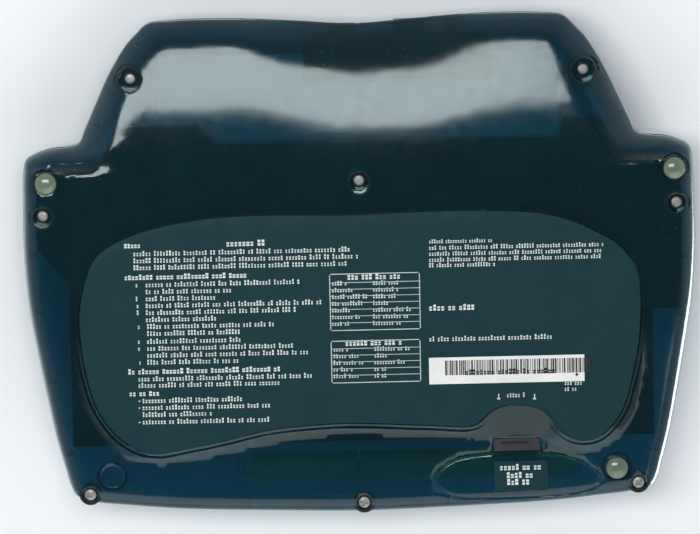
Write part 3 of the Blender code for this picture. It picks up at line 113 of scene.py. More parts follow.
BOARD_EDGE_PIXELS = (
    (98, 164), (121.6, 128), (198.7, 127), (216.5, 145), (558.7, 137), (561, 118), (599, 117), (622, 152),
)
BOARD_LEVEL = 0.0077
HUMP_LEVEL = 0.015
GLINTS = (
    (BOARD_LEVEL, ((70, 181), (89, 181), (100, 181), (644, 160), (664, 229), (677, 229), (670, 240),
                   (90, 215), (596, 137), (602, 132))),
    (HUMP_LEVEL, ((321, 56), (324, 69), (387, 54), (408, 60), (333, 56))),
    (BOARD_LEVEL, ((240, 139), (262, 140), (324, 137), (453, 133), (580, 190))),
)
FOOT_RADIUS = 0.0051
SEATS = {"front": (0.0036, 0.006), "rear": (0.0046, 0.006), "hump": (0.0057, 0.0118)}

RANDOM = random.Random(11)


def from_photo(pixel):
    """The place in metres that a pixel of the photograph shows."""
    across, down = pixel[0] - PHOTO_CENTRE[0], pixel[1] - PHOTO_CENTRE[1]
    u = across * cos(PHOTO_ROLL) - down * sin(PHOTO_ROLL)
    v = across * sin(PHOTO_ROLL) + down * cos(PHOTO_ROLL)
    return (-u / PHOTO_HALF_WIDTH * HALF_WIDTH, (PHOTO_SHIFT - v) / PHOTO_HALF_DEPTH * HALF_DEPTH)


def photo_box(first, second):
    """Middle and size in metres of the rectangle between two corner pixels."""
    (x1, y1), (x2, y2) = from_photo(first), from_photo(second)
    return ((x1 + x2) / 2, (y1 + y2) / 2), (abs(x1 - x2), abs(y1 - y2))


# Curves and heights
def unit(vectors):
    return vectors / np.linalg.norm(vectors, axis=1, keepdims=True)


def spline(points, count, closed=True):
    """Points evenly spaced along a smooth curve through the given ones."""
    knots = [Vector(p).to_2d() for p in points]
    if closed:
        ring = [knots[-1]] + knots + knots[:2]
    else:
        ring = [2 * knots[0] - knots[1]] + knots + [2 * knots[-1] - knots[-2]]
    dense = []
    for a, b, c, d in zip(ring, ring[1:], ring[2:], ring[3:]):
        t1 = max((b - a).length, 1e-6) ** 0.5
        t2 = t1 + max((c - b).length, 1e-6) ** 0.5
        t3 = t2 + max((d - c).length, 1e-6) ** 0.5
        for step in range(24):
            t = t1 + (t2 - t1) * step / 24
            first = a.lerp(b, t / t1)
            second = b.lerp(c, (t - t1) / (t2 - t1))
            third = c.lerp(d, (t - t2) / (t3 - t2))
            left = first.lerp(second, t / t2)
            right = second.lerp(third, (t - t1) / (t3 - t1))
            dense.append(left.lerp(right, (t - t1) / (t2 - t1)))
    dense.append(knots[0] if closed else knots[-1])
    line = np.array(dense)
    along = np.concatenate([[0], np.cumsum(np.hypot(*np.diff(line, axis=0).T))])
    places = np.linspace(0, along[-1], count + 1 if closed else count)
    if closed:
        places = places[:-1]
    return np.stack([np.interp(places, along, line[:, i]) for i in (0, 1)], 1)


def smooth(value, start, end):
    share = np.clip((np.asarray(value, float) - start) / (end - start), 0, 1)
    return share * share * (3 - 2 * share)


def softened(table, width):
    """A table of straight stretches as a dense one with its corners rounded."""
    places = np.linspace(table[0][0] - width, table[-1][0] + width, 2001)
    values = np.interp(places, *zip(*table))
    reach = max(int(width / (places[1] - places[0])), 1)
    kernel = np.ones(reach) / reach
    padded = np.pad(values, 2 * reach, mode="edge")
    for _ in range(2):
        padded = np.convolve(padded, kernel, mode="same")
    return places, padded[2 * reach:-2 * reach]


RAISE_TABLE = softened(RAISE_SHARES, 0.05)
BOTTOM_TABLE = softened(BOTTOM_ROUNDING, 0.0006)
TOP_TABLE = softened(TOP_ROUNDING, 0.0007)

OUTLINE = spline(
    [(x * HALF_WIDTH, y * HALF_DEPTH) for x, y in OUTLINE_SHARES]
    + [(-x * HALF_WIDTH, y * HALF_DEPTH) for x, y in OUTLINE_SHARES[-2:0:-1]],
    520,
)
LABEL, STEP = (spline([from_photo(p) for p in pixels], 260) for pixels in (LABEL_PIXELS, STEP_PIXELS))


def distance_to(points, loop):
    """Distance from each point to a closed line."""
    a = loop[None]
    b = np.roll(loop, -1, 0)[None]
    p = np.asarray(points, float)[:, None]
    share = np.clip(((p - a) * (b - a)).sum(2) / ((b - a) ** 2).sum(2), 0, 1)
    return np.sqrt(((p - a - share[..., None] * (b - a)) ** 2).sum(2)).min(1)


def inside(points, loop):
    x, y = np.asarray(points, float).T[:, :, None]
    x1, y1 = loop.T[:, None]
    x2, y2 = np.roll(loop, -1, 0).T[:, None]
    with np.errstate(divide="ignore", invalid="ignore"):
        crossing = ((y1 > y) != (y2 > y)) & (x < (x2 - x1) * (y - y1) / (y2 - y1) + x1)
    return crossing.sum(1) % 2 == 1


def hump_share(x, y):
    return smooth(y, HUMP_START_Y, 0.066) * (1 - smooth(np.abs(x), 0.1285, 0.1405))


def label_share(points):
    """1 on the label, 0 outside the step, straight slope between."""
    to_label, to_step = distance_to(points, LABEL), distance_to(points, STEP)
    share = to_step / (to_step + to_label + 1e-9)
    share[inside(points, LABEL)] = 1
    share[~inside(points, STEP)] = 0
    return share


def bottom_height(points):
    """Outside of the underside."""
    points = np.asarray(points, float)
    x, y = points.T
    step = FRONT_STEP * smooth(-y, 0.016, 0.078) * (1 - label_share(points))
    middle = 1 - smooth(np.abs(x + 0.011), 0.01, 0.066)
    crisp = smooth(np.abs(x), 0.03, 0.058) * (1 - smooth(np.abs(x), 0.085, 0.105))
    shifted = y + middle * (HUMP_DIP[0] + HUMP_DIP[1] * smooth(y, HUMP_START_Y, 0.115))
    back = np.maximum(shifted - HUMP_START_Y, 0) / (HALF_DEPTH - HUMP_START_Y)
    crease = 0.0032 * smooth(np.abs(x), 0.11, 0.131) * smooth(y, 0.0478, 0.0505) * (1 - smooth(y, 0.055, 0.11))
    low = BASE_Z + step + HUMP_RISE * back ** 2 + crease
    inset = distance_to(points, OUTLINE) / (1 + (1.5 - 1.15 * crisp) * hump_share(x, y))
    share = np.interp(inset, *BOTTOM_TABLE)
    return low + (PART_Z - low) * share


def deck_height(y):
    return DECK_Z + (y - DECK_Y) * tan(DECK_TILT)


def top_height(points):
    """Outside of the key side."""
    points = np.asarray(points, float)
    x, y = points.T
    back = (y - RAISE_FRONT_Y) / (HALF_DEPTH - RAISE_FRONT_Y)
    level = deck_height(RAISE_FRONT_Y)
    side = 1 - smooth(np.abs(x), 0.138, 0.15)
    rise = (BODY_HEIGHT - level) * np.interp(back, *RAISE_TABLE) * side
    high = np.minimum(deck_height(y), level) + rise * (back > -0.05)
    inset = distance_to(points, OUTLINE) / (1 + 0.8 * hump_share(x, y))
    share = np.interp(inset, *TOP_TABLE)
    start = PART_Z + GAP
    return start + (high - start) * share


# Object and mesh helpers
def new_item(name, data):
    item = bpy.data.objects.new(name, data)
    bpy.context.scene.collection.objects.link(item)
    return item


def new_object(name, bm, finish):
    mesh = bpy.data.meshes.new(name)
    bm.to_mesh(mesh)
    bm.free()
    mesh.materials.append(LOOKS[finish])
    return new_item(name, mesh)


def evaluated_mesh(item):
    bpy.context.view_layer.update()
    return bpy.data.meshes.new_from_object(item.evaluated_get(bpy.context.evaluated_depsgraph_get()))


def shade(item, angle=35):
    item.data.shade_smooth()
    item.data.set_sharp_from_angle(angle=radians(angle))
    return item


def place(item, body, slot, *nodes):
    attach(item, body)
    if nodes:
        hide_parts(*nodes)


def place_skin(name, bm, thickness, body, finish, node):
    """Gives a skin its wall and puts it in the place of a node."""
    skin = new_object(name, bm, finish)
    wall = skin.modifiers.new("wall", "SOLIDIFY")
    wall.thickness = thickness
    wall.offset = -1
    place(shade(skin), body, finish, node)


def inset_rings(insets, soften):
    """The outline and loops further in, along directions smoothed so that they never cross."""
    along = np.roll(OUTLINE, -1, 0) - np.roll(OUTLINE, 1, 0)
    normals = np.stack([along[:, 1], -along[:, 0]], 1)
    gaps = np.linalg.norm(OUTLINE[:, None] - OUTLINE[None], axis=2)
    inward = unit(np.exp(-((gaps / 0.009) ** 2)) @ normals)
    spread = 1 + soften * hump_share(*OUTLINE.T)
    return [OUTLINE] + [OUTLINE + inward * (inset * spread)[:, None] for inset in insets]


def grid_points(low, high, pitch, loop, margin):
    """Points of a triangular grid that lie inside a closed line by a margin."""
    rows = int((high[1] - low[1]) / (pitch * 0.866)) + 1
    columns = int((high[0] - low[0]) / pitch) + 1
    made = np.array([
        (low[0] + (column + 0.5 * (row % 2)) * pitch, low[1] + row * pitch * 0.866)
        for row in range(rows)
        for column in range(columns)
    ])
    made = made[inside(made, loop)]
    return made[distance_to(made, loop) > margin]


def case_points(ring, low, high, pitch, margin, loops, clear):
    """A grid over the whole plan with a finer one over a part of it, both clear of closed lines."""
    wide = grid_points((-HALF_WIDTH, -HALF_DEPTH), (HALF_WIDTH, HALF_DEPTH), 0.0034, ring, 0.0015)
    made = np.concatenate([wide, grid_points(low, high, pitch, ring, margin)])
    for loop in loops:
        made = made[distance_to(made, loop) > clear]
    return made


def triangulate(loops, loose, height, keep, downwards):
    """A skin: a constrained triangulation of loops and loose points in plan, raised to its height."""
    points, edges = [], []
    for loop in loops:
        start = len(points)
        points += [Vector(p) for p in loop]
        edges += [(start + i, start + (i + 1) % len(loop)) for i in range(len(loop))]
    points += [Vector(p) for p in loose]
    verts, _, faces, _, _, _ = geometry.delaunay_2d_cdt(points, edges, [], 0, 1e-7)
    flat = np.array(verts)
    corners = np.array(faces)
    corners = corners[keep(flat[corners].mean(1))]
    levels = height(flat)
    bm = bmesh.new()
    made = {}
    for triangle in corners:
        row = []
        for index in triangle:
            if index not in made:
                made[index] = bm.verts.new((*flat[index], levels[index]))
            row.append(made[index])
        bm.faces.new(row[::-1] if downwards else row)
    return bm


def circle(centre, radius, count=48):
    return np.array([
        (centre[0] + radius * cos(2 * pi * i / count), centre[1] + radius * sin(2 * pi * i / count))
        for i in range(count)
    ])


def holes_of(bm, loop):
    """The open edges that follow a closed line in plan."""
    rim = [e for e in bm.edges if e.is_boundary]
    middles = np.array([(e.verts[0].co.to_2d() + e.verts[1].co.to_2d()) / 2 for e in rim])
    near = distance_to(middles, loop) < 1e-5
    return [e for e, taken in zip(rim, near) if taken]


LARGEST_RISE = 0.0011


def sink(bm, edges, levels, close=True):
    """Carries an open loop through (height, scale) steps. A small height is a rise from where it is."""
    for level, scale in levels:
        made = bmesh.ops.extrude_edge_only(bm, edges=edges)["geom"]
        corners = [v for v in made if isinstance(v, bmesh.types.BMVert)]
        edges = [e for e in made if isinstance(e, bmesh.types.BMEdge) and e.is_boundary]
        middle = sum((v.co for v in corners), Vector()) / len(corners)
        for corner in corners:
            corner.co.x = middle.x + (corner.co.x - middle.x) * scale
            corner.co.y = middle.y + (corner.co.y - middle.y) * scale
            corner.co.z = level if abs(level) > LARGEST_RISE else corner.co.z + level
    if close:
        bmesh.ops.contextual_create(bm, geom=edges)


def boxes(name, items, finish, bevel=0.0):
    """Several boxes, each (centre, size) or (centre, size, turn about Z), in one object."""
    bm = bmesh.new()
    for centre, size, *turn in items:
        matrix = Matrix.Translation(centre) @ Matrix.Rotation(turn[0] if turn else 0, 4, "Z")
        bmesh.ops.create_cube(bm, size=1, matrix=matrix @ Matrix.Diagonal((*size, 1)))
    item = new_object(name, bm, finish)
    if bevel:
        edge = item.modifiers.new("edge", "BEVEL")
        edge.width = bevel
        edge.segments = 2
    return item


def raised(marks, level, thick):
    """Flat marks of (centre, size) or (centre, size, turn) as boxes at one height."""
    return [((*centre, level), (*size, thick), *turn) for centre, size, *turn in marks]


def join_loops(bm, loops):
    """Faces between each loop of corners and the next. A loop may be one corner repeated."""
    count = len(loops[0])
    for first, second in zip(loops, loops[1:]):
        for i in range(count):
            j = (i + 1) % count
            bm.faces.new(list(dict.fromkeys((first[i], first[j], second[j], second[i]))))


def lathe(name, profile, finish, steps, matrix=None):
    """A closed profile of (radius, height) turned round Z."""
    bm = bmesh.new()
    columns = []
    for radius, height in profile:
        if radius == 0:
            columns.append([bm.verts.new((0, 0, height))] * steps)
        else:
            columns.append([bm.verts.new((*p, height)) for p in circle((0, 0), radius, steps)])
    join_loops(bm, columns)
    bmesh.ops.recalc_face_normals(bm, faces=bm.faces)
    if matrix is not None:
        bm.transform(matrix)
    return shade(new_object(name, bm, finish))


# Materials
class Look:
    """One procedural material, or the world, and short ways to add its nodes."""

    def __init__(self, name, owners=bpy.data.materials, output="ShaderNodeOutputMaterial", space="Object"):
        self.owner = owners.new(name)
        self.owner.use_nodes = True
        self.tree = self.owner.node_tree
        self.tree.nodes.clear()
        self.out = self.node(output)
        self.place = self.node("ShaderNodeTexCoord").outputs[space]

    def node(self, kind, inputs=(), **settings):
        made = self.tree.nodes.new(kind)
        for key, value in settings.items():
            setattr(made, key, value)
        for key, value in dict(inputs).items():
            if isinstance(value, bpy.types.NodeSocket):
                self.tree.links.new(value, made.inputs[key])
            else:
                made.inputs[key].default_value = value
        return made

    def noise(self, scale, detail=3.0, roughness=0.55, stretch=None):
        place = self.place
        if stretch:
            place = self.node("ShaderNodeMapping", {"Vector": place, "Scale": stretch}).outputs[0]
        inputs = {"Vector": place, "Scale": scale, "Detail": detail, "Roughness": roughness}
        return self.node("ShaderNodeTexNoise", inputs).outputs["Fac"]

    def math(self, operation, first, second=0.0, clamp=False):
        inputs = {0: first, 1: second}
        return self.node("ShaderNodeMath", inputs, operation=operation, use_clamp=clamp).outputs[0]

    def mix(self, share, first, second, **settings):
        inputs = {0: share, 6: first, 7: second}
        return self.node("ShaderNodeMix", inputs, data_type="RGBA", **settings).outputs[2]

    def blend(self, share, first, second):
        return self.node("ShaderNodeMixShader", {0: share, 1: first, 2: second}).outputs[0]

    def ramp(self, value, *stops):
        made = self.node("ShaderNodeValToRGB", {"Fac": value})
        line = made.color_ramp
        while len(line.elements) < len(stops):
            line.elements.new(0.5)
        for element, (place, colour) in zip(line.elements, stops):
            element.position = place
            element.color = (*colour, 1) if isinstance(colour, tuple) else (colour, colour, colour, 1)
        return made.outputs["Color"]

    def bump(self, height, strength=0.2, distance=0.0003, below=None):
        inputs = {"Height": height, "Strength": strength, "Distance": distance}
        if below is not None:
            inputs["Normal"] = below
        return self.node("ShaderNodeBump", inputs).outputs["Normal"]

    def surface(self, colour, roughness, **inputs):
        named = {key.replace("_", " "): value for key, value in inputs.items()}
        inputs = {"Base Color": colour, "Roughness": roughness, **named}
        return self.node("ShaderNodeBsdfPrincipled", inputs).outputs[0]

    def done(self, shader):
        self.tree.links.new(shader, self.out.inputs["Surface"])
        return self.owner


def plastic(name, low, high, rough=0.5, grain=2600, strength=0.12, **inputs):
    """Moulded plastic: slight colour drift, fine grain and uneven gloss."""
    look = Look(name)
    colour = look.ramp(look.noise(60, 4), (0.35, low), (0.65, high))
    gloss = look.ramp(look.noise(180, 5), (0.3, rough * 0.85), (0.7, min(rough * 1.2, 1)))
    normal = look.bump(look.noise(grain, 2), strength, 0.0001)
    return look.done(look.surface(colour, gloss, Normal=normal, **inputs))


def see_through(name, tint, low, high, share, rough):
    """Clear coloured plastic: a tinted film over a dull coloured body, under a gloss on the outer side."""
    look = Look(name)
    colour = look.ramp(look.noise(28, 4), (0.3, low), (0.7, high))
    gloss = look.ramp(look.noise(240, 6, 0.6), (0.3, rough * 0.8), (0.75, rough * 1.25))
    wave = look.bump(look.noise(55, 2), 0.25, 0.0004)
    normal = look.bump(look.noise(1900, 3), 0.05, 0.0001, wave)
    body = look.surface(colour, 0.6, Specular_IOR_Level=0.0)
    film = look.node("ShaderNodeBsdfTransparent", {"Color": (*tint, 1)}).outputs[0]
    edge = look.node("ShaderNodeLayerWeight", {"Blend": 0.35}).outputs["Facing"]
    share = look.ramp(edge, (0, 1 - share), (1, min(1.35 - share, 0.96)))
    inner = look.blend(share, film, body)
    shine = look.node("ShaderNodeBsdfGlossy", {"Color": SHEEN, "Roughness": gloss, "Normal": normal}).outputs[0]
    mirror = look.node("ShaderNodeFresnel", {"IOR": 1.5, "Normal": normal}).outputs[0]
    behind = look.node("ShaderNodeNewGeometry").outputs["Backfacing"]
    return look.done(look.blend(look.math("SUBTRACT", mirror, behind, True), inner, shine))


def metal(name, low, high, rough, stretch=(1, 1, 1)):
    look = Look(name)
    colour = look.ramp(look.noise(300, 4, 0.6, stretch), (0.3, low), (0.7, high))
    gloss = look.ramp(look.noise(900, 5, 0.7, stretch), (0.3, rough * 0.7), (0.7, rough * 1.35))
    normal = look.bump(look.noise(2500, 3, 0.6, stretch), 0.15, 0.0001)
    return look.done(look.surface(colour, gloss, Metallic=1.0, Normal=normal))


def board_material():
    look = Look("board_green")
    rows = {"Vector": look.place, "Scale": 160.0, "Mortar Size": 0.006, "Brick Width": 1.7, "Row Height": 0.35}
    brick = look.node("ShaderNodeTexBrick", rows).outputs["Fac"]
    cells = look.node("ShaderNodeTexVoronoi", {"Vector": look.place, "Scale": 190}).outputs["Distance"]
    pads = look.ramp(cells, (0.08, 1.0), (0.11, 0.0))
    mask = look.ramp(look.noise(45, 3), (0.48, 0.0), (0.52, 1.0))
    traces = look.math("MULTIPLY", brick, mask)
    base = look.ramp(look.noise(70, 4), (0.3, (0.004, 0.045, 0.02)), (0.7, (0.008, 0.07, 0.03)))
    lined = look.mix(traces, base, (0.02, 0.13, 0.06, 1))
    dotted = look.mix(pads, lined, (0.3, 0.36, 0.3, 1))
    normal = look.bump(traces, 0.4, 0.0001)
    return look.done(look.surface(dotted, 0.35, Normal=normal))


def screen_material():
    look = Look("screen_glass")
    split = look.node("ShaderNodeSeparateXYZ", {"Vector": look.place}).outputs
    lines = [look.math("SINE", look.math("MULTIPLY", split[axis], 4200.0)) for axis in (0, 1)]
    dots = look.math("MAXIMUM", *lines)
    base = look.ramp(look.noise(12, 2), (0.3, (0.23, 0.29, 0.2)), (0.7, (0.28, 0.34, 0.24)))
    shadow = look.ramp(dots, (0.75, (1.0, 1.0, 1.0)), (0.98, (0.86, 0.88, 0.86)))
    colour = look.mix(1.0, base, shadow, blend_type="MULTIPLY")
    return look.done(look.surface(colour, 0.18, Coat_Weight=0.5))


SHEEN = (0.88, 1, 0.99, 1)
CASE_LOW = (0.0015, 0.018, 0.026)
CASE_HIGH = (0.0025, 0.028, 0.038)
MATERIALS = (
    see_through("case_plastic", (0.28, 0.76, 0.9), CASE_LOW, CASE_HIGH, 0.6, 0.11),
    plastic("thick_plastic", (0.002, 0.012, 0.016), (0.003, 0.018, 0.022), 0.3),
    plastic("bright_edge", (0.14, 0.4, 0.36), (0.2, 0.55, 0.5), 0.4),
    see_through("window_plastic", (0.9, 0.93, 0.95), (0.01, 0.012, 0.014), (0.02, 0.022, 0.025), 0.8, 0.1),
    see_through("infrared_plastic", (0.12, 0.03, 0.05), (0.004, 0.003, 0.006), (0.008, 0.005, 0.01), 0.4, 0.12),
    screen_material(),
    metal("metal", (0.45, 0.46, 0.46), (0.62, 0.62, 0.6), 0.34, (1, 6, 1)),
    metal("screw_metal", (0.3, 0.3, 0.29), (0.42, 0.42, 0.4), 0.5),
    metal("solder", (0.5, 0.62, 0.58), (0.7, 0.8, 0.75), 0.3),
    metal("dark_metal", (0.02, 0.03, 0.03), (0.035, 0.045, 0.045), 0.5, (1, 6, 1)),
    board_material(),
    plastic("chip_black", (0.012, 0.012, 0.013), (0.025, 0.025, 0.027), 0.5),
    plastic("socket_black", (0.012, 0.013, 0.015), (0.03, 0.031, 0.034), 0.45),
    plastic("frame_black", (0.012, 0.016, 0.019), (0.022, 0.027, 0.03), 0.55),
    plastic("dome_rubber", (0.42, 0.43, 0.41), (0.55, 0.55, 0.53), 0.7),
    plastic("membrane_film", (0.4, 0.45, 0.45), (0.58, 0.62, 0.61), 0.35),
    plastic("key_grey", (0.022, 0.03, 0.036), (0.03, 0.039, 0.046), 0.42, 3000, 0.3),
    plastic("key_teal", (0.008, 0.075, 0.088), (0.012, 0.095, 0.108), 0.42, 3000, 0.3),
    plastic("cell_green", (0.03, 0.4, 0.18), (0.06, 0.52, 0.24), 0.3, Coat_Weight=0.5),
    plastic("display_back", (0.3, 0.5, 0.5), (0.42, 0.62, 0.6), 0.4),
    plastic("foot_rubber", (0.1, 0.15, 0.1), (0.16, 0.21, 0.14), 0.22, 900, 0.1,
            Coat_Weight=0.6, Subsurface_Weight=0.3, Subsurface_Scale=0.003),
    plastic("label_teal", (0.0055, 0.034, 0.042), (0.007, 0.039, 0.046), 0.5, 1500, 0.08, Specular_IOR_Level=0.12),
    plastic("label_white", (0.74, 0.76, 0.74), (0.84, 0.85, 0.83), 0.5, 900, 0.05),
    plastic("ink_white", (0.6, 0.68, 0.66), (0.75, 0.82, 0.79), 0.55, 900, 0.05),
    plastic("ink_black", (0.01, 0.01, 0.01), (0.03, 0.03, 0.03), 0.55, 900, 0.05),
    plastic("ribbon_film", (0.55, 0.55, 0.52), (0.72, 0.72, 0.69), 0.4),
)
LOOKS = {material.name.split(".")[0]: material for material in MATERIALS}


# The two halves of the case and the battery door
def screw_sites():
    for group, pixels in (("hump", HUMP_SCREW_PIXELS), ("rear", REAR_SCREW_PIXELS), ("front", FRONT_SCREW_PIXELS)):
        for number, pixel in enumerate(pixels, 1):
            yield f"{group}_screw_{number}", from_photo(pixel), *SEATS[group]


def door_loop(margin):
    """The door's outline, moved outwards by a margin."""
    lens = spline([from_photo(p) for p in DOOR_LENS_PIXELS], 110, False)
    loop = np.concatenate([lens, [from_photo(p) for p in LATCH_PIXELS]])
    following = np.roll(loop, -1, 0)
    ends = unit(following - loop)
    starts = np.roll(ends, 1, 0)
    area = (loop[:, 0] * following[:, 1] - following[:, 0] * loop[:, 1]).sum()
    side = 1 if area > 0 else -1
    normal = unit(np.stack([ends[:, 1] + starts[:, 1], -ends[:, 0] - starts[:, 0]], 1) * side)
    spread = np.maximum(normal[:, 0] * ends[:, 1] * side - normal[:, 1] * ends[:, 0] * side, 0.5)
    return loop + normal * (margin / spread)[:, None]


def rounded(high, points, loop, radius, drop):
    """The heights with an edge rounded over along a closed line."""
    share = np.clip(1 - distance_to(points, loop) / radius, 0, 1)
    return high + drop * share ** 2


def make_bottom_case():
    rings = inset_rings(BOTTOM_INSETS, 1.3)
    door = door_loop(0.0001)
    recesses = [(circle(centre, radius), seat) for _, centre, radius, seat in screw_sites()]
    feet = [*FOOT_PIXELS.values(), EMPTY_FOOT_PIXELS]
    recesses += [(circle(from_photo(p), FOOT_RADIUS + 0.00025), FOOT_SEAT_Z) for p in feet]
    loops = rings + [STEP, LABEL, door] + [loop for loop, _ in recesses]
    loose = case_points(rings[-1], (-0.14, 0.044), (0.14, 0.058), 0.0016, 0.001, loops[len(rings):], 0.0008)

    def keep(points):
        kept = inside(points, OUTLINE)
        for loop in [LABEL, door] + [loop for loop, _ in recesses]:
            kept &= ~inside(points, loop)
        return kept

    def height(points):
        return rounded(bottom_height(points), points, door, 0.0009, 0.00035)

    bm = triangulate(loops, loose, height, keep, True)
    for loop, seat in recesses:
        scale = 1 - 0.00016 / np.linalg.norm(loop[0] - loop.mean(0))
        steps = ((0.00006, scale), (0.00012, scale), (0.0003, scale ** 0.5), (0.0005, 1), (seat, 0.98))
        sink(bm, holes_of(bm, loop), steps)
    sink(bm, holes_of(bm, LABEL), ((0.00055, 1),), False)
    place_skin("bottom_case_shell", bm, WALL, "case", "case_plastic", "bottom_case")


def make_door():
    edge, ring = door_loop(-GAP), door_loop(-0.0009)
    loose = grid_points(edge.min(0), edge.max(0), 0.0012, edge, 0.0005)

    def height(points):
        return rounded(bottom_height(points), points, edge, 0.0011, 0.0005)

    bm = triangulate([edge, ring], loose, height, lambda p: inside(p, edge), True)
    place_skin("battery_door_shell", bm, 0.002, "door", "case_plastic", "battery_door")


def cut_convex(bm, planes, reach):
    """Removes the faces on the inner side of every plane, within a reach."""
    chosen = [f for f in bm.faces if reach(f.calc_center_median())]
    for point, normal in planes:
        geom = chosen + list({e for f in chosen for e in f.edges}) + list({v for f in chosen for v in f.verts})
        cut = bmesh.ops.bisect_plane(bm, geom=geom, dist=1e-7, plane_co=point, plane_no=normal)
        chosen = {g for g in cut["geom"] if isinstance(g, bmesh.types.BMFace) and g.is_valid}
        chosen |= {f for g in cut["geom_cut"] for f in g.link_faces}
        chosen = [f for f in chosen if (f.calc_center_median() - Vector(point)).dot(Vector(normal)) < 0
                  and reach(f.calc_center_median())]
    bmesh.ops.delete(bm, geom=chosen, context="FACES")


def rear_rectangle(centre, size):
    (x, z), (width, height) = centre, size
    return [
        ((x + width / 2, 0, 0), (1, 0, 0)), ((x - width / 2, 0, 0), (-1, 0, 0)),
        ((0, 0, z + height / 2), (0, 0, 1)), ((0, 0, z - height / 2), (0, 0, -1)),
    ]


def rounded_loop(width, depth, radius, centre=(0, 0), steps=8):
    made = []
    for quarter, (side, end) in enumerate(((1, 1), (-1, 1), (-1, -1), (1, -1))):
        for step in range(steps + 1):
            angle = (quarter + step / steps) * pi / 2
            made.append((
                centre[0] + side * (width / 2 - radius) + radius * cos(angle),
                centre[1] + end * (depth / 2 - radius) + radius * sin(angle),
            ))
    return np.array(made)


KEYBOARD_PLANE = Matrix.Translation((0, 0, deck_height(0))) @ Matrix.Rotation(DECK_TILT, 4, "X")


def plan_loop(loop, plane):
    return np.array([(plane @ Vector((*p, 0))).to_2d() for p in loop])


def display_plane():
    low_y, high_y = (RAISE_FRONT_Y + s * (HALF_DEPTH - RAISE_FRONT_Y) for s in (0.18, 0.7))
    level = deck_height(RAISE_FRONT_Y)
    low_z, high_z = (level + (BODY_HEIGHT - level) * s for s in (0.38, 1))
    turn = atan2(high_z - low_z, high_y - low_y)
    return Matrix.Translation((0, (low_y + high_y) / 2, (low_z + high_z) / 2)) @ Matrix.Rotation(turn, 4, "X")


DISPLAY_PLANE = display_plane()
KEY_PITCH = 0.0184
KEY_FRONT_V = -0.081
KEYBOARD_WIDTH = 14.5 * KEY_PITCH
KEY_BACK_V = KEY_FRONT_V + 5 * KEY_PITCH + 0.018
KEY_MIDDLE = (0, (KEY_FRONT_V + KEY_BACK_V) / 2)
SOCKETS = {"usb_socket": (0.006, 0.012, 0.0108), "printer_socket": (-0.025, 0.014, 0.0128),
           "power_jack": (-0.0455, 0.009, 0.0108)}
SOCKET_LOW_Z = 0.0171
WINDOW_HOLE = (0.1666, 0.0366)
LENS_CENTRE = (0.0675, 0.036)
LENS_REACH = (0.0155, 0.012)


def make_top_case():
    rings = inset_rings(TOP_INSETS, 0.8)
    well = plan_loop(
        rounded_loop(KEYBOARD_WIDTH + 0.0014, KEY_BACK_V - KEY_FRONT_V + 0.0014, 0.002, KEY_MIDDLE), KEYBOARD_PLANE
    )
    window = plan_loop(rounded_loop(*WINDOW_HOLE, 0.003), DISPLAY_PLANE)
    loops = [well, window]
    loose = case_points(rings[-1], (-HALF_WIDTH, 0.028), (HALF_WIDTH, 0.05), 0.002, 0.0012, loops, 0.0009)

    def keep(points):
        return inside(points, OUTLINE) & ~inside(points, well) & ~inside(points, window)

    def height(points):
        high = rounded(top_height(points), points, well, 0.001, -0.0004)
        return rounded(high, points, window, 0.0008, -0.0003)

    bm = triangulate(rings + loops, loose, height, keep, False)
    for x, width, tall in SOCKETS.values():
        planes = rear_rectangle((x, SOCKET_LOW_Z + tall / 2), (width + 0.0008, tall + 0.0008))
        cut_convex(bm, planes, lambda p: p.y > 0.105)
    (lens_x, lens_z), (reach_x, reach_z) = LENS_CENTRE, LENS_REACH
    arc = [(lens_x + reach_x * cos(pi * i / 14), lens_z - reach_z * sin(pi * i / 14)) for i in range(15)]
    planes = [((0, 0, lens_z), (0, 0, 1))]
    for (x1, z1), (x2, z2) in zip(arc, arc[1:]):
        planes.append((((x1 + x2) / 2, 0, (z1 + z2) / 2), (-(z2 - z1), 0, x2 - x1)))
    cut_convex(bm, planes, lambda p: p.y > 0.1)
    bmesh.ops.remove_doubles(bm, verts=bm.verts, dist=1e-6)
    place_skin("top_case_shell", bm, WALL, "case", "case_plastic", "top_case")


make_bottom_case()
make_door()
make_top_case()


# Screws, feet and what shows through the shell
SCREW_PROFILE = (
    (0, 0.009), (0.0007, 0.009), (0.00125, 0.008), (0.00125, -0.0003), (0.0027, -0.0003), (0.0028, -0.0004),
    (0.0028, -0.0011), (0.00265, -0.0015), (0.0023, -0.0018), (0.0017, -0.00198), (0.0009, -0.00208), (0, -0.0021),
)
POST_PROFILE = ((0, 0.0077), (0.0027, 0.0077), (0.0026, 0.0044), (0.0012, 0.0042), (0.001, 0.0046), (0, 0.0046))


def make_screws():
    for name, centre, _, seat in screw_sites():
        turn = RANDOM.uniform(0, pi / 2)
        screw = lathe(name + "_detail", SCREW_PROFILE, "screw_metal", 40)
        # The cutter carries the dark metal finish so the faces of the cross come out dark: painted shade in the
        # cross's recess.
        tool = boxes("cross", [((0, 0, -0.0017), (0.0036, 0.00095, 0.0014)),
                               ((0, 0, -0.00165), (0.00095, 0.0036, 0.00135)),
                               ((0, 0, -0.0016), (0.0016, 0.0016, 0.0012), pi / 4)], "dark_metal")
        tool.data.transform(Matrix.Rotation(turn, 4, "Z"))
        cut = screw.modifiers.new("cross", "BOOLEAN")
        cut.object = tool
        cut.solver = "EXACT"
        cut.use_self = True
        done = evaluated_mesh(screw)
        screw.modifiers.clear()
        screw.data = done
        bpy.data.objects.remove(tool)
        screw.data.transform(Matrix.Translation((*centre, seat)))
        place(shade(screw, 30), "case", "screw_metal", name)


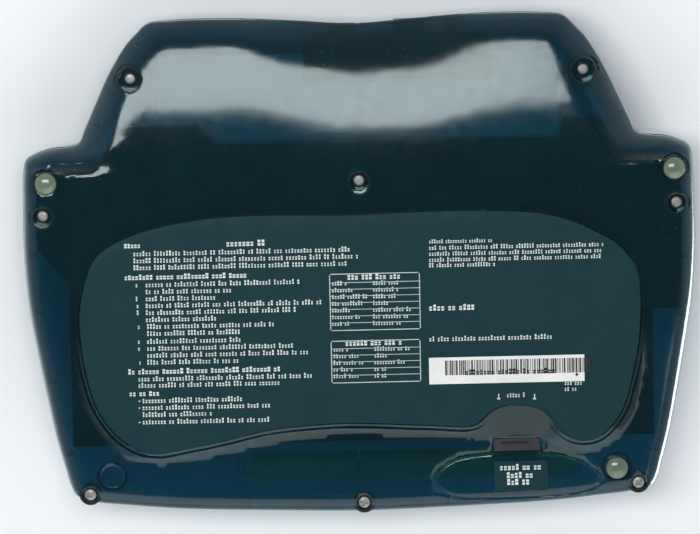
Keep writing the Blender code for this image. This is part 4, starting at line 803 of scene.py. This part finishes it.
def make_feet():
    for name, pixel in FOOT_PIXELS.items():
        top = FOOT_SEAT_Z - GAP
        profile = [(0, top), (FOOT_RADIUS - 0.0002, top), (FOOT_RADIUS, top - 0.0002), (FOOT_RADIUS, 0.0024)]
        for step in range(1, 9):
            angle = pi / 2 * step / 9
            profile.append((FOOT_RADIUS * cos(angle), 0.0024 * (1 - sin(angle))))
        profile.append((0, 0))
        spot = Matrix.Translation((*from_photo(pixel), 0))
        place(lathe(name + "_dome", profile, "foot_rubber", 44, spot), "case", "foot_rubber", name)


def make_inside():
    """Ribs, posts and bosses on the inside of the case, and what shines on the boards."""
    ribs = []
    for pixel in RIB_PIXELS:
        place_now = np.array(from_photo(pixel))
        nearest = np.argmin(np.linalg.norm(OUTLINE - place_now, axis=1))
        along = OUTLINE[(nearest + 1) % len(OUTLINE)] - OUTLINE[nearest - 1]
        inward = np.array([along[1], -along[0]]) / np.linalg.norm(along)
        middle = OUTLINE[nearest] + inward * 0.0042
        ribs.append(((*middle, 0.0112), (0.0044, 0.0013, 0.004), atan2(inward[1], inward[0])))
    place(boxes("case_ribs", ribs, "thick_plastic", 0.0002), "case", "case_plastic")
    for name, centre, radius, seat in screw_sites():
        outer, inner = radius + 0.0015, radius + 0.0003
        profile = ((0, seat + 0.0018), (outer, seat + 0.0018), (outer, seat - 0.001), (inner, seat - 0.001),
                   (inner, seat + 0.0006), (0, seat + 0.0006))
        boss = lathe(name + "_boss", profile, "thick_plastic", 36, Matrix.Translation((*centre, 0)))
        place(boss, "case", "case_plastic")
    for number, pixel in enumerate(STANDOFF_PIXELS, 1):
        spot = Matrix.Translation((*from_photo(pixel), 0))
        post = lathe(f"board_post_{number}", POST_PROFILE, "thick_plastic", 28, spot)
        place(post, "case", "case_plastic")
    rims = []
    for start, end in zip(BOARD_EDGE_PIXELS, BOARD_EDGE_PIXELS[1:]):
        (x1, y1), (x2, y2) = from_photo(start), from_photo(end)
        rims.append((((x1 + x2) / 2, (y1 + y2) / 2 - 0.0003, 0.00797),
                     (hypot(x2 - x1, y2 - y1), 0.0004, 0.00006), atan2(y2 - y1, x2 - x1)))
    place(boxes("main_board_edge", rims, "bright_edge"), "case", "board_green")
    points = []
    for level, pixels in GLINTS:
        points += raised([(from_photo(p), (0.0014, 0.0009), RANDOM.uniform(0, pi)) for p in pixels], level, 0.0006)
    place(boxes("solder_points", points, "solder", 0.0002), "case", "metal")


make_screws()
make_feet()
make_inside()


# Label, printed content and stickers. The words are plain marks that can't be read.
INK_Z = BASE_Z - 0.00004
FRAME_LINE = 0.000322
ROW_PIXELS = 6.75
BAR_WIDTH = 0.00046


def greek(marks, start, end, height, bold=False):
    """Short upright marks that stand for a line of small print, between two pixels."""
    x, y = from_photo(start)
    length = hypot(end[0] - start[0], end[1] - start[1]) * PIXEL_WIDE
    tall = height * PIXEL_DEEP
    advance = tall * (0.66 if bold else 0.6)
    used = 0.0
    word = RANDOM.randint(2, 8)
    while used + advance <= length + 1e-6:
        if word == 0:
            word = RANDOM.randint(2, 9)
            used += advance * 0.75
            continue
        high = tall * RANDOM.choice((0.68, 0.68, 0.68, 1.0, 0.86))
        width = advance * (0.74 if bold else 0.56) * RANDOM.uniform(0.8, 1.1)
        centre_x = x - used - advance / 2
        slit = tall * 0.13
        for part in (0, 1):
            piece = high / 2 - slit / 2
            centre_y = y - tall / 2 + piece / 2 + part * (piece + slit)
            marks.append(((centre_x, centre_y), (width, piece)))
        used += advance
        word -= 1


def line_box(marks, corners):
    """A thin ruled frame, open at its corners, between two corner pixels."""
    (x, y), (width, depth) = photo_box(*corners)
    for side in (-1, 1):
        marks.append(((x + side * width / 2, y), (FRAME_LINE, depth - 0.0008)))
        marks.append(((x, y + side * depth / 2), (width - 0.0008, FRAME_LINE)))


# Each line of print: start and end pixel, height, 1 when bold
LINES = (
    (124, 248, 145, 248, 5, 1), (226, 246, 269, 245, 6, 1), (133, 256, 355, 252, 5, 0), (133, 263, 361, 259, 5, 0),
    (133, 270, 350, 266, 5, 0), (124, 280, 247, 277, 5.4, 1), (135, 287, 138, 287, 4.5, 0),
    (145, 287, 302, 283, 5, 0), (145, 294, 236, 292, 5, 0), (135, 301, 138, 301, 4.5, 0), (145, 301, 218, 299, 5, 0),
    (136, 308, 139, 308, 4.5, 0), (145, 308, 323, 304, 5, 0), (136, 315, 139, 315, 4.5, 0),
    (145, 315, 297, 312, 5, 0), (145, 322, 217, 320, 5, 0), (137, 329, 140, 329, 4.5, 0), (146, 329, 275, 326, 5, 0),
    (146, 336, 243, 334, 5, 0), (137, 344, 140, 344, 4.5, 0), (146, 344, 243, 342, 5, 0),
    (137, 351, 140, 351, 4.5, 0), (146, 351, 295, 347, 5, 0), (146, 358, 311, 354, 5, 0),
    (138, 365, 141, 365, 4.5, 0), (146, 365, 240, 363, 5, 0), (127, 375, 286, 371, 5.4, 1),
    (137, 382, 313, 377, 5, 0), (137, 388.5, 282, 386, 5, 0), (128, 397, 161, 396, 5.4, 1),
    (141, 404, 244, 402, 5, 0), (141, 411, 271, 408, 5, 0), (141, 418, 212, 416, 5, 0), (141, 425.5, 271, 422, 5, 0),
    (347, 279.5, 401, 278.5, 5.6, 1), (345, 346, 404, 345, 5.6, 1), (428.5, 243, 493, 242, 4, 0),
    (428.5, 249.5, 604, 246, 4.4, 0), (428.5, 255.5, 604, 252, 4.4, 0), (428.5, 261.5, 603, 258, 4.4, 0),
    (428.5, 267, 497, 265, 4.4, 0), (428.7, 310.5, 476, 309, 6, 1), (429, 341.5, 553, 339.5, 5, 0),
    (565, 385.5, 585, 385, 4.4, 0), (565, 391.5, 580, 391, 4.4, 0), (507, 398, 526, 397.5, 4.6, 0),
)
TABLES = (((329.5, 274), (420.5, 328.6), 281.8, 7), ((331, 341.4), (421, 381.5), 348.2, 5))


def make_print():
    marks = []
    for x1, y1, x2, y2, height, bold in LINES:
        greek(marks, (x1, y1 - height / 2), (x2, y2 - height / 2), height, bold)
    for y in (404, 411, 425.5):
        marks.append((from_photo((138.5, y - 2)), (0.0006, 0.0006)))
    for *corners, first, count in TABLES:
        line_box(marks, corners)
        for row in range(count):
            y = first + row * ROW_PIXELS
            left, right = corners[0][0], corners[1][0]
            (x1, y1), (x2, _) = from_photo((left, y)), from_photo((right, y))
            marks.append((((x1 + x2) / 2, y1 - 0.0004), (abs(x1 - x2), 0.00022)))
            greek(marks, (left + 2, y + 1.3), (left + 2 + RANDOM.uniform(16, 40), y + 1.3), 4.4)
            greek(marks, (left + 43, y + 0.6), (left + 43 + RANDOM.uniform(12, 42), y + 0.6), 4.4)
    for x in (499.3, 535.3):
        marks.append((from_photo((x, 397.3)), (0.00045, 0.0028)))
        for side in (-1, 1):
            marks.append((from_photo((x + side * 0.9, 399.4)), (0.00045, 0.0009), side * pi / 4))
    place(boxes("label_print", raised(marks, INK_Z, 0.00004), "ink_white"), "case", "label_white")


def make_label():
    away = unit(LABEL - LABEL.mean(0))
    loop, ring = LABEL - away * 0.0005, LABEL - away * 0.0009
    loose = grid_points(loop.min(0), loop.max(0), 0.006, ring, 0.002)

    def height(points):
        return BASE_Z + 0.0001 * np.clip(1 - distance_to(points, loop) / 0.0004, 0, 1)

    bm = triangulate([loop, ring], loose, height, lambda p: inside(p, loop), True)
    place_skin("guide_label_film", bm, 0.00025, "case", "label_teal", "guide_label")


def make_stickers():
    (x, y), (length, depth) = photo_box((429, 357.5), (585.5, 381.5))
    depth -= 0.0003
    paper = raised([((x, y), (length, depth))], BASE_Z - 0.0004, 0.0002)
    paper = boxes("serial_sticker", paper, "label_white", 0.00005)
    place(paper, "case", "label_white", "serial_label")
    top, low = y + depth * 0.38, y - depth * 0.17
    x, end = (from_photo((column, 0))[0] for column in (437, 582))
    bars = []
    while x > end:
        width = BAR_WIDTH * RANDOM.choice((0.55, 0.55, 0.8, 1.3, 1.8))
        bars.append(((x - width / 2, (top + low) / 2), (width, top - low)))
        x -= width + BAR_WIDTH * RANDOM.choice((0.5, 0.6, 0.9, 1.4))
    greek(bars, (465, 372.5), (556, 371), 5.6, True)
    bars.append((from_photo((577.5, 374.5)), (0.0012, 0.0012), pi / 4))
    bars = raised(bars, BASE_Z - 0.00053, 0.00005)
    place(boxes("serial_bars", bars, "ink_black"), "case", "label_white")

    level = BASE_Z + FRONT_STEP
    tab = raised([photo_box((495, 464), (550, 493))], level - 0.0004, 0.0002)
    place(boxes("door_sticker", tab, "label_teal", 0.00005), "door", "label_teal", "door_label")
    marks = []
    for start, end in (((500.5, 470), (545, 470.7)), ((507.5, 478), (537.5, 478.4)), ((508, 485), (536.5, 485.4))):
        greek(marks, start, end, 6, True)
    marks = raised(marks, level - 0.00053, 0.00005)
    place(boxes("door_sticker_print", marks, "ink_white"), "door", "label_white")


def make_latch():
    """A black plate in the door latch's slot, painted shade for that recess, and the latch's catch."""
    level = BASE_Z + FRONT_STEP
    # The slot is a black plate at the door's face: painted shade where the recess is dark.
    slot = (*from_photo((518, 447)), level), (0.0212, 0.0056, 0.0004)
    catch = (*from_photo((516, 445)), level - 0.00025), (0.0125, 0.0013, 0.0003)
    place(boxes("door_latch_slot_shade", [slot], "chip_black", 0.0002), "door", "case_plastic")
    place(boxes("door_latch_catch", [catch], "dark_metal", 0.0001), "door", "case_plastic")


make_label()
make_print()
make_latch()
make_stickers()


# Keys
KEY_GROUPS = {
    "modifier_keys": (0, 0, (1.5, 1.25, 1.5), ""),
    "space_bar": (0, 4.25, (6.25,), ""),
    "left_arrow_key": (0, 10.5, (1,), "<"),
    "down_arrow_key": (0, 11.5, (1,), "v"),
    "up_arrow_key": (0, 12.5, (1,), "^"),
    "right_arrow_key": (0, 13.5, (1,), ">"),
    "left_shift_key": (1, 0, (2.25,), ""),
    "lower_letter_keys": (1, 2.25, (1,) * 10, "ZXCVBNM,./"),
    "right_shift_key": (1, 12.25, (2.25,), ""),
    "caps_lock_key": (2, 0, (1.75,), ""),
    "home_letter_keys": (2, 1.75, (1,) * 11, "ASDFGHJKL;'"),
    "return_key": (2, 12.75, (1.75,), ""),
    "tab_key": (3, 0, (1.5,), ""),
    "upper_letter_keys": (3, 1.5, (1,) * 13, "QWERTYUIOP[]-"),
    "number_keys": (4, 0, (1,) * 13, "`1234567890-="),
    "delete_key": (4, 13, (1.5,), ""),
    "on_off_key": (5, 0, (1,), ""),
    "file_keys": (5, 1.25, (1,) * 8, "12345678"),
    "command_keys": (5, 9.5, (1,) * 4, ""),
    "send_key": (5, 13.5, (1,), ""),
}
KEY_GAP = 0.0012
KEY_TOP = 0.0056
KEY_BOTTOM = -0.0019
KEY_DISH = 0.0007


def key_places(row, start, widths):
    v, depth = (KEY_FRONT_V + (row + 0.5) * KEY_PITCH, KEY_PITCH) if row < 5 else (KEY_BACK_V - 0.007, 0.014)
    edge = start
    for width in widths:
        yield (edge + width / 2) * KEY_PITCH - KEYBOARD_WIDTH / 2, v, width * KEY_PITCH, depth
        edge += width


def cap_mesh(bm, x, v, width, depth):
    """One sculpted keycap: a flared skirt, a rounded shoulder and a dished top."""
    width -= KEY_GAP
    depth -= KEY_GAP
    steps = (
        (0, 0, KEY_BOTTOM, 0.0009), (0.0016, 0.0012, KEY_TOP - 0.0016, 0.0018),
        (0.0019, 0.0014, KEY_TOP - 0.0005, 0.0021), (0.0022, 0.0017, KEY_TOP - 0.0001, 0.0021),
        (0.0027, 0.0022, KEY_TOP, 0.0019),
    )
    loops = []
    for side, end, height, radius in steps:
        loop = rounded_loop(width - 2 * side, depth - 2 * end, radius, (x, v), 4)
        loops.append([bm.verts.new((*p, height)) for p in loop])
    rim = loops[-1]
    for share in (0.72, 0.4):
        level = KEY_TOP - KEY_DISH * (1 - share ** 2)
        loops.append([
            bm.verts.new((x + (corner.co.x - x) * share, v + (corner.co.y - v) * share, level))
            for corner in rim
        ])
    join_loops(bm, loops)
    bm.faces.new(loops[-1])
    bm.faces.new(loops[0][::-1])


def letter_mesh(bm, letter, x, v, size):
    """One generic character as a thin flat solid on a cap's top."""
    level = KEY_TOP - KEY_DISH + 0.00018
    if letter in "<>v^":
        turn = {"<": pi / 2, ">": -pi / 2, "v": pi, "^": 0}[letter]
        matrix = Matrix.Translation((x, v, level)) @ Matrix.Rotation(turn, 4, "Z")
        bmesh.ops.create_cone(
            bm, cap_ends=True, segments=3, radius1=size * 0.6, radius2=size * 0.6, depth=0.0003,
            matrix=matrix @ Matrix.Rotation(pi / 2, 4, "Z"),
        )
        return
    curve = bpy.data.curves.new("letter", "FONT")
    curve.body = letter
    curve.size = size * 1.5
    curve.align_x = "CENTER"
    curve.align_y = "CENTER"
    curve.extrude = 0.00015
    curve.resolution_u = 3
    item = new_item("letter", curve)
    mesh = evaluated_mesh(item)
    mesh.transform(Matrix.Translation((x, v, level)))
    bm.from_mesh(mesh)
    bpy.data.objects.remove(item)


def make_keys():
    for name, (row, start, widths, letters) in KEY_GROUPS.items():
        caps = bmesh.new()
        marks = bmesh.new()
        for index, (x, v, width, depth) in enumerate(key_places(row, start, widths)):
            cap_mesh(caps, x, v, width, depth)
            bmesh.ops.create_cube(
                caps, size=1,
                matrix=Matrix.Translation((x, v, -0.0054)) @ Matrix.Diagonal((0.004, 0.004, 0.007, 1)),
            )
            if index < len(letters):
                letter_mesh(marks, letters[index], x, v, 0.0032 if row == 5 else 0.0038)
        finish = "key_teal" if row == 5 or len(widths) == 1 else "key_grey"
        for bm in (caps, marks):
            bmesh.ops.recalc_face_normals(bm, faces=bm.faces)
            bm.transform(KEYBOARD_PLANE)
        keys = shade(new_object(name + "_caps", caps, finish), 40)
        place(keys, name + "_body", finish, name)
        if letters:
            place(new_object(name + "_marks", marks, "ink_white"), name + "_body", "label_white")
        else:
            marks.free()


make_keys()


# Finishes of the CAD pieces that stay
FINISHES = {"infrared_window": "infrared_plastic", "keyboard_backplate": "dark_metal",
            "display_board": "display_back", "display_bezel": "display_back"}
for name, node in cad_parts.items():
    if node.hide_render:
        continue
    old = node.data.materials[0].name.split(".")[0] if node.data.materials else "frame_black"
    chosen = FINISHES.get(name, old)
    node.data.materials.clear()
    node.data.materials.append(LOOKS.get(chosen, LOOKS["frame_black"]))


# Stage: a pale wall behind the key side, seen only from below, and a pale floor, seen only from above
def stage_material(name, colour):
    look = Look(name)
    tone = look.ramp(look.noise(1.5, 2), (0.3, colour), (0.7, tuple(c * 1.02 for c in colour)))
    face = look.surface(tone, 0.9)
    clear = look.node("ShaderNodeBsdfTransparent").outputs[0]
    behind = look.node("ShaderNodeNewGeometry").outputs["Backfacing"]
    return look.done(look.blend(behind, face, clear))


def stage_plane(name, level, size, colour, downwards):
    LOOKS[name] = stage_material(name + "_pale", colour)
    bm = bmesh.new()
    bmesh.ops.create_grid(bm, x_segments=8, y_segments=8, size=size, matrix=Matrix.Translation((0, 0, level)))
    if downwards:
        bmesh.ops.reverse_faces(bm, faces=bm.faces)
    plane = new_object(name, bm, name)
    plane.visible_shadow = False
    plane.visible_diffuse = False
    plane.visible_glossy = False


stage_plane("backdrop", 0.047, 3.0, (0.93, 0.96, 0.98), True)
stage_plane("floor", 0.0, 6.0, (0.84, 0.85, 0.86), False)


def area_light(name, place, target, size, power):
    light = bpy.data.lights.new(name, "AREA")
    light.shape = "RECTANGLE"
    light.size, light.size_y = size
    light.energy = power
    item = new_item(name, light)
    item.location = place
    item.rotation_mode = "QUATERNION"
    item.rotation_quaternion = (Vector(target) - Vector(place)).to_track_quat("-Z", "Y")


area_light("key_above", (-1.3, -0.9, 1.3), (0, 0, 0), (1.1, 1.1), 30)
area_light("soft_below", (0.22, 0.29, -1.2), (0.22, 0.29, 0), (0.76, 0.32), 7.6)
area_light("fill_below", (-0.4, -1.9, -1.6), (0, 0, 0), (2.4, 2.4), 22)

# World: paler upwards
SKY_STOPS = ((0.02, 0.1), (0.13, 0.45), (0.32, 0.7), (0.54, 0.86))
sky = Look("studio", bpy.data.worlds, "ShaderNodeOutputWorld", "Generated")
upwards = sky.node("ShaderNodeSeparateXYZ", {"Vector": sky.place}).outputs["Z"]
share = sky.node("ShaderNodeMapRange", {"Value": upwards, "From Min": -1, "From Max": 1}).outputs[0]
tones = [(stop, (level * 0.96, level * 0.99, level * 1.03)) for stop, level in SKY_STOPS]
background = sky.node("ShaderNodeBackground", {"Color": sky.ramp(share, *tones)}).outputs[0]
bpy.context.scene.world = sky.done(background)

# Camera: below the object, a little towards its rear, turned as in the photograph
CAMERA_TILT = radians(10)
CAMERA_DISTANCE = 2.2
across = Vector((-cos(PHOTO_ROLL), -sin(PHOTO_ROLL), 0))
level_up = Vector((-sin(PHOTO_ROLL), cos(PHOTO_ROLL), 0))
down = Vector((0, 0, -1))
back = level_up * sin(CAMERA_TILT) + down * cos(CAMERA_TILT)
up = level_up * cos(CAMERA_TILT) - down * sin(CAMERA_TILT)
aim = Vector((*from_photo((350, 267)), 0.0025))
camera_data = bpy.data.cameras.new("camera")
camera_data.sensor_width = 36
camera_data.lens = 36 * CAMERA_DISTANCE / (700 * PIXEL_WIDE)
camera_data.clip_end = 50
camera = new_item("camera", camera_data)
spot = aim + back * CAMERA_DISTANCE
camera.matrix_world = Matrix((*zip(across, up, back, spot), (0, 0, 0, 1)))
bpy.context.scene.camera = camera
bpy.context.scene.view_settings.view_transform = "Standard"

bpy.context.view_layer.update()
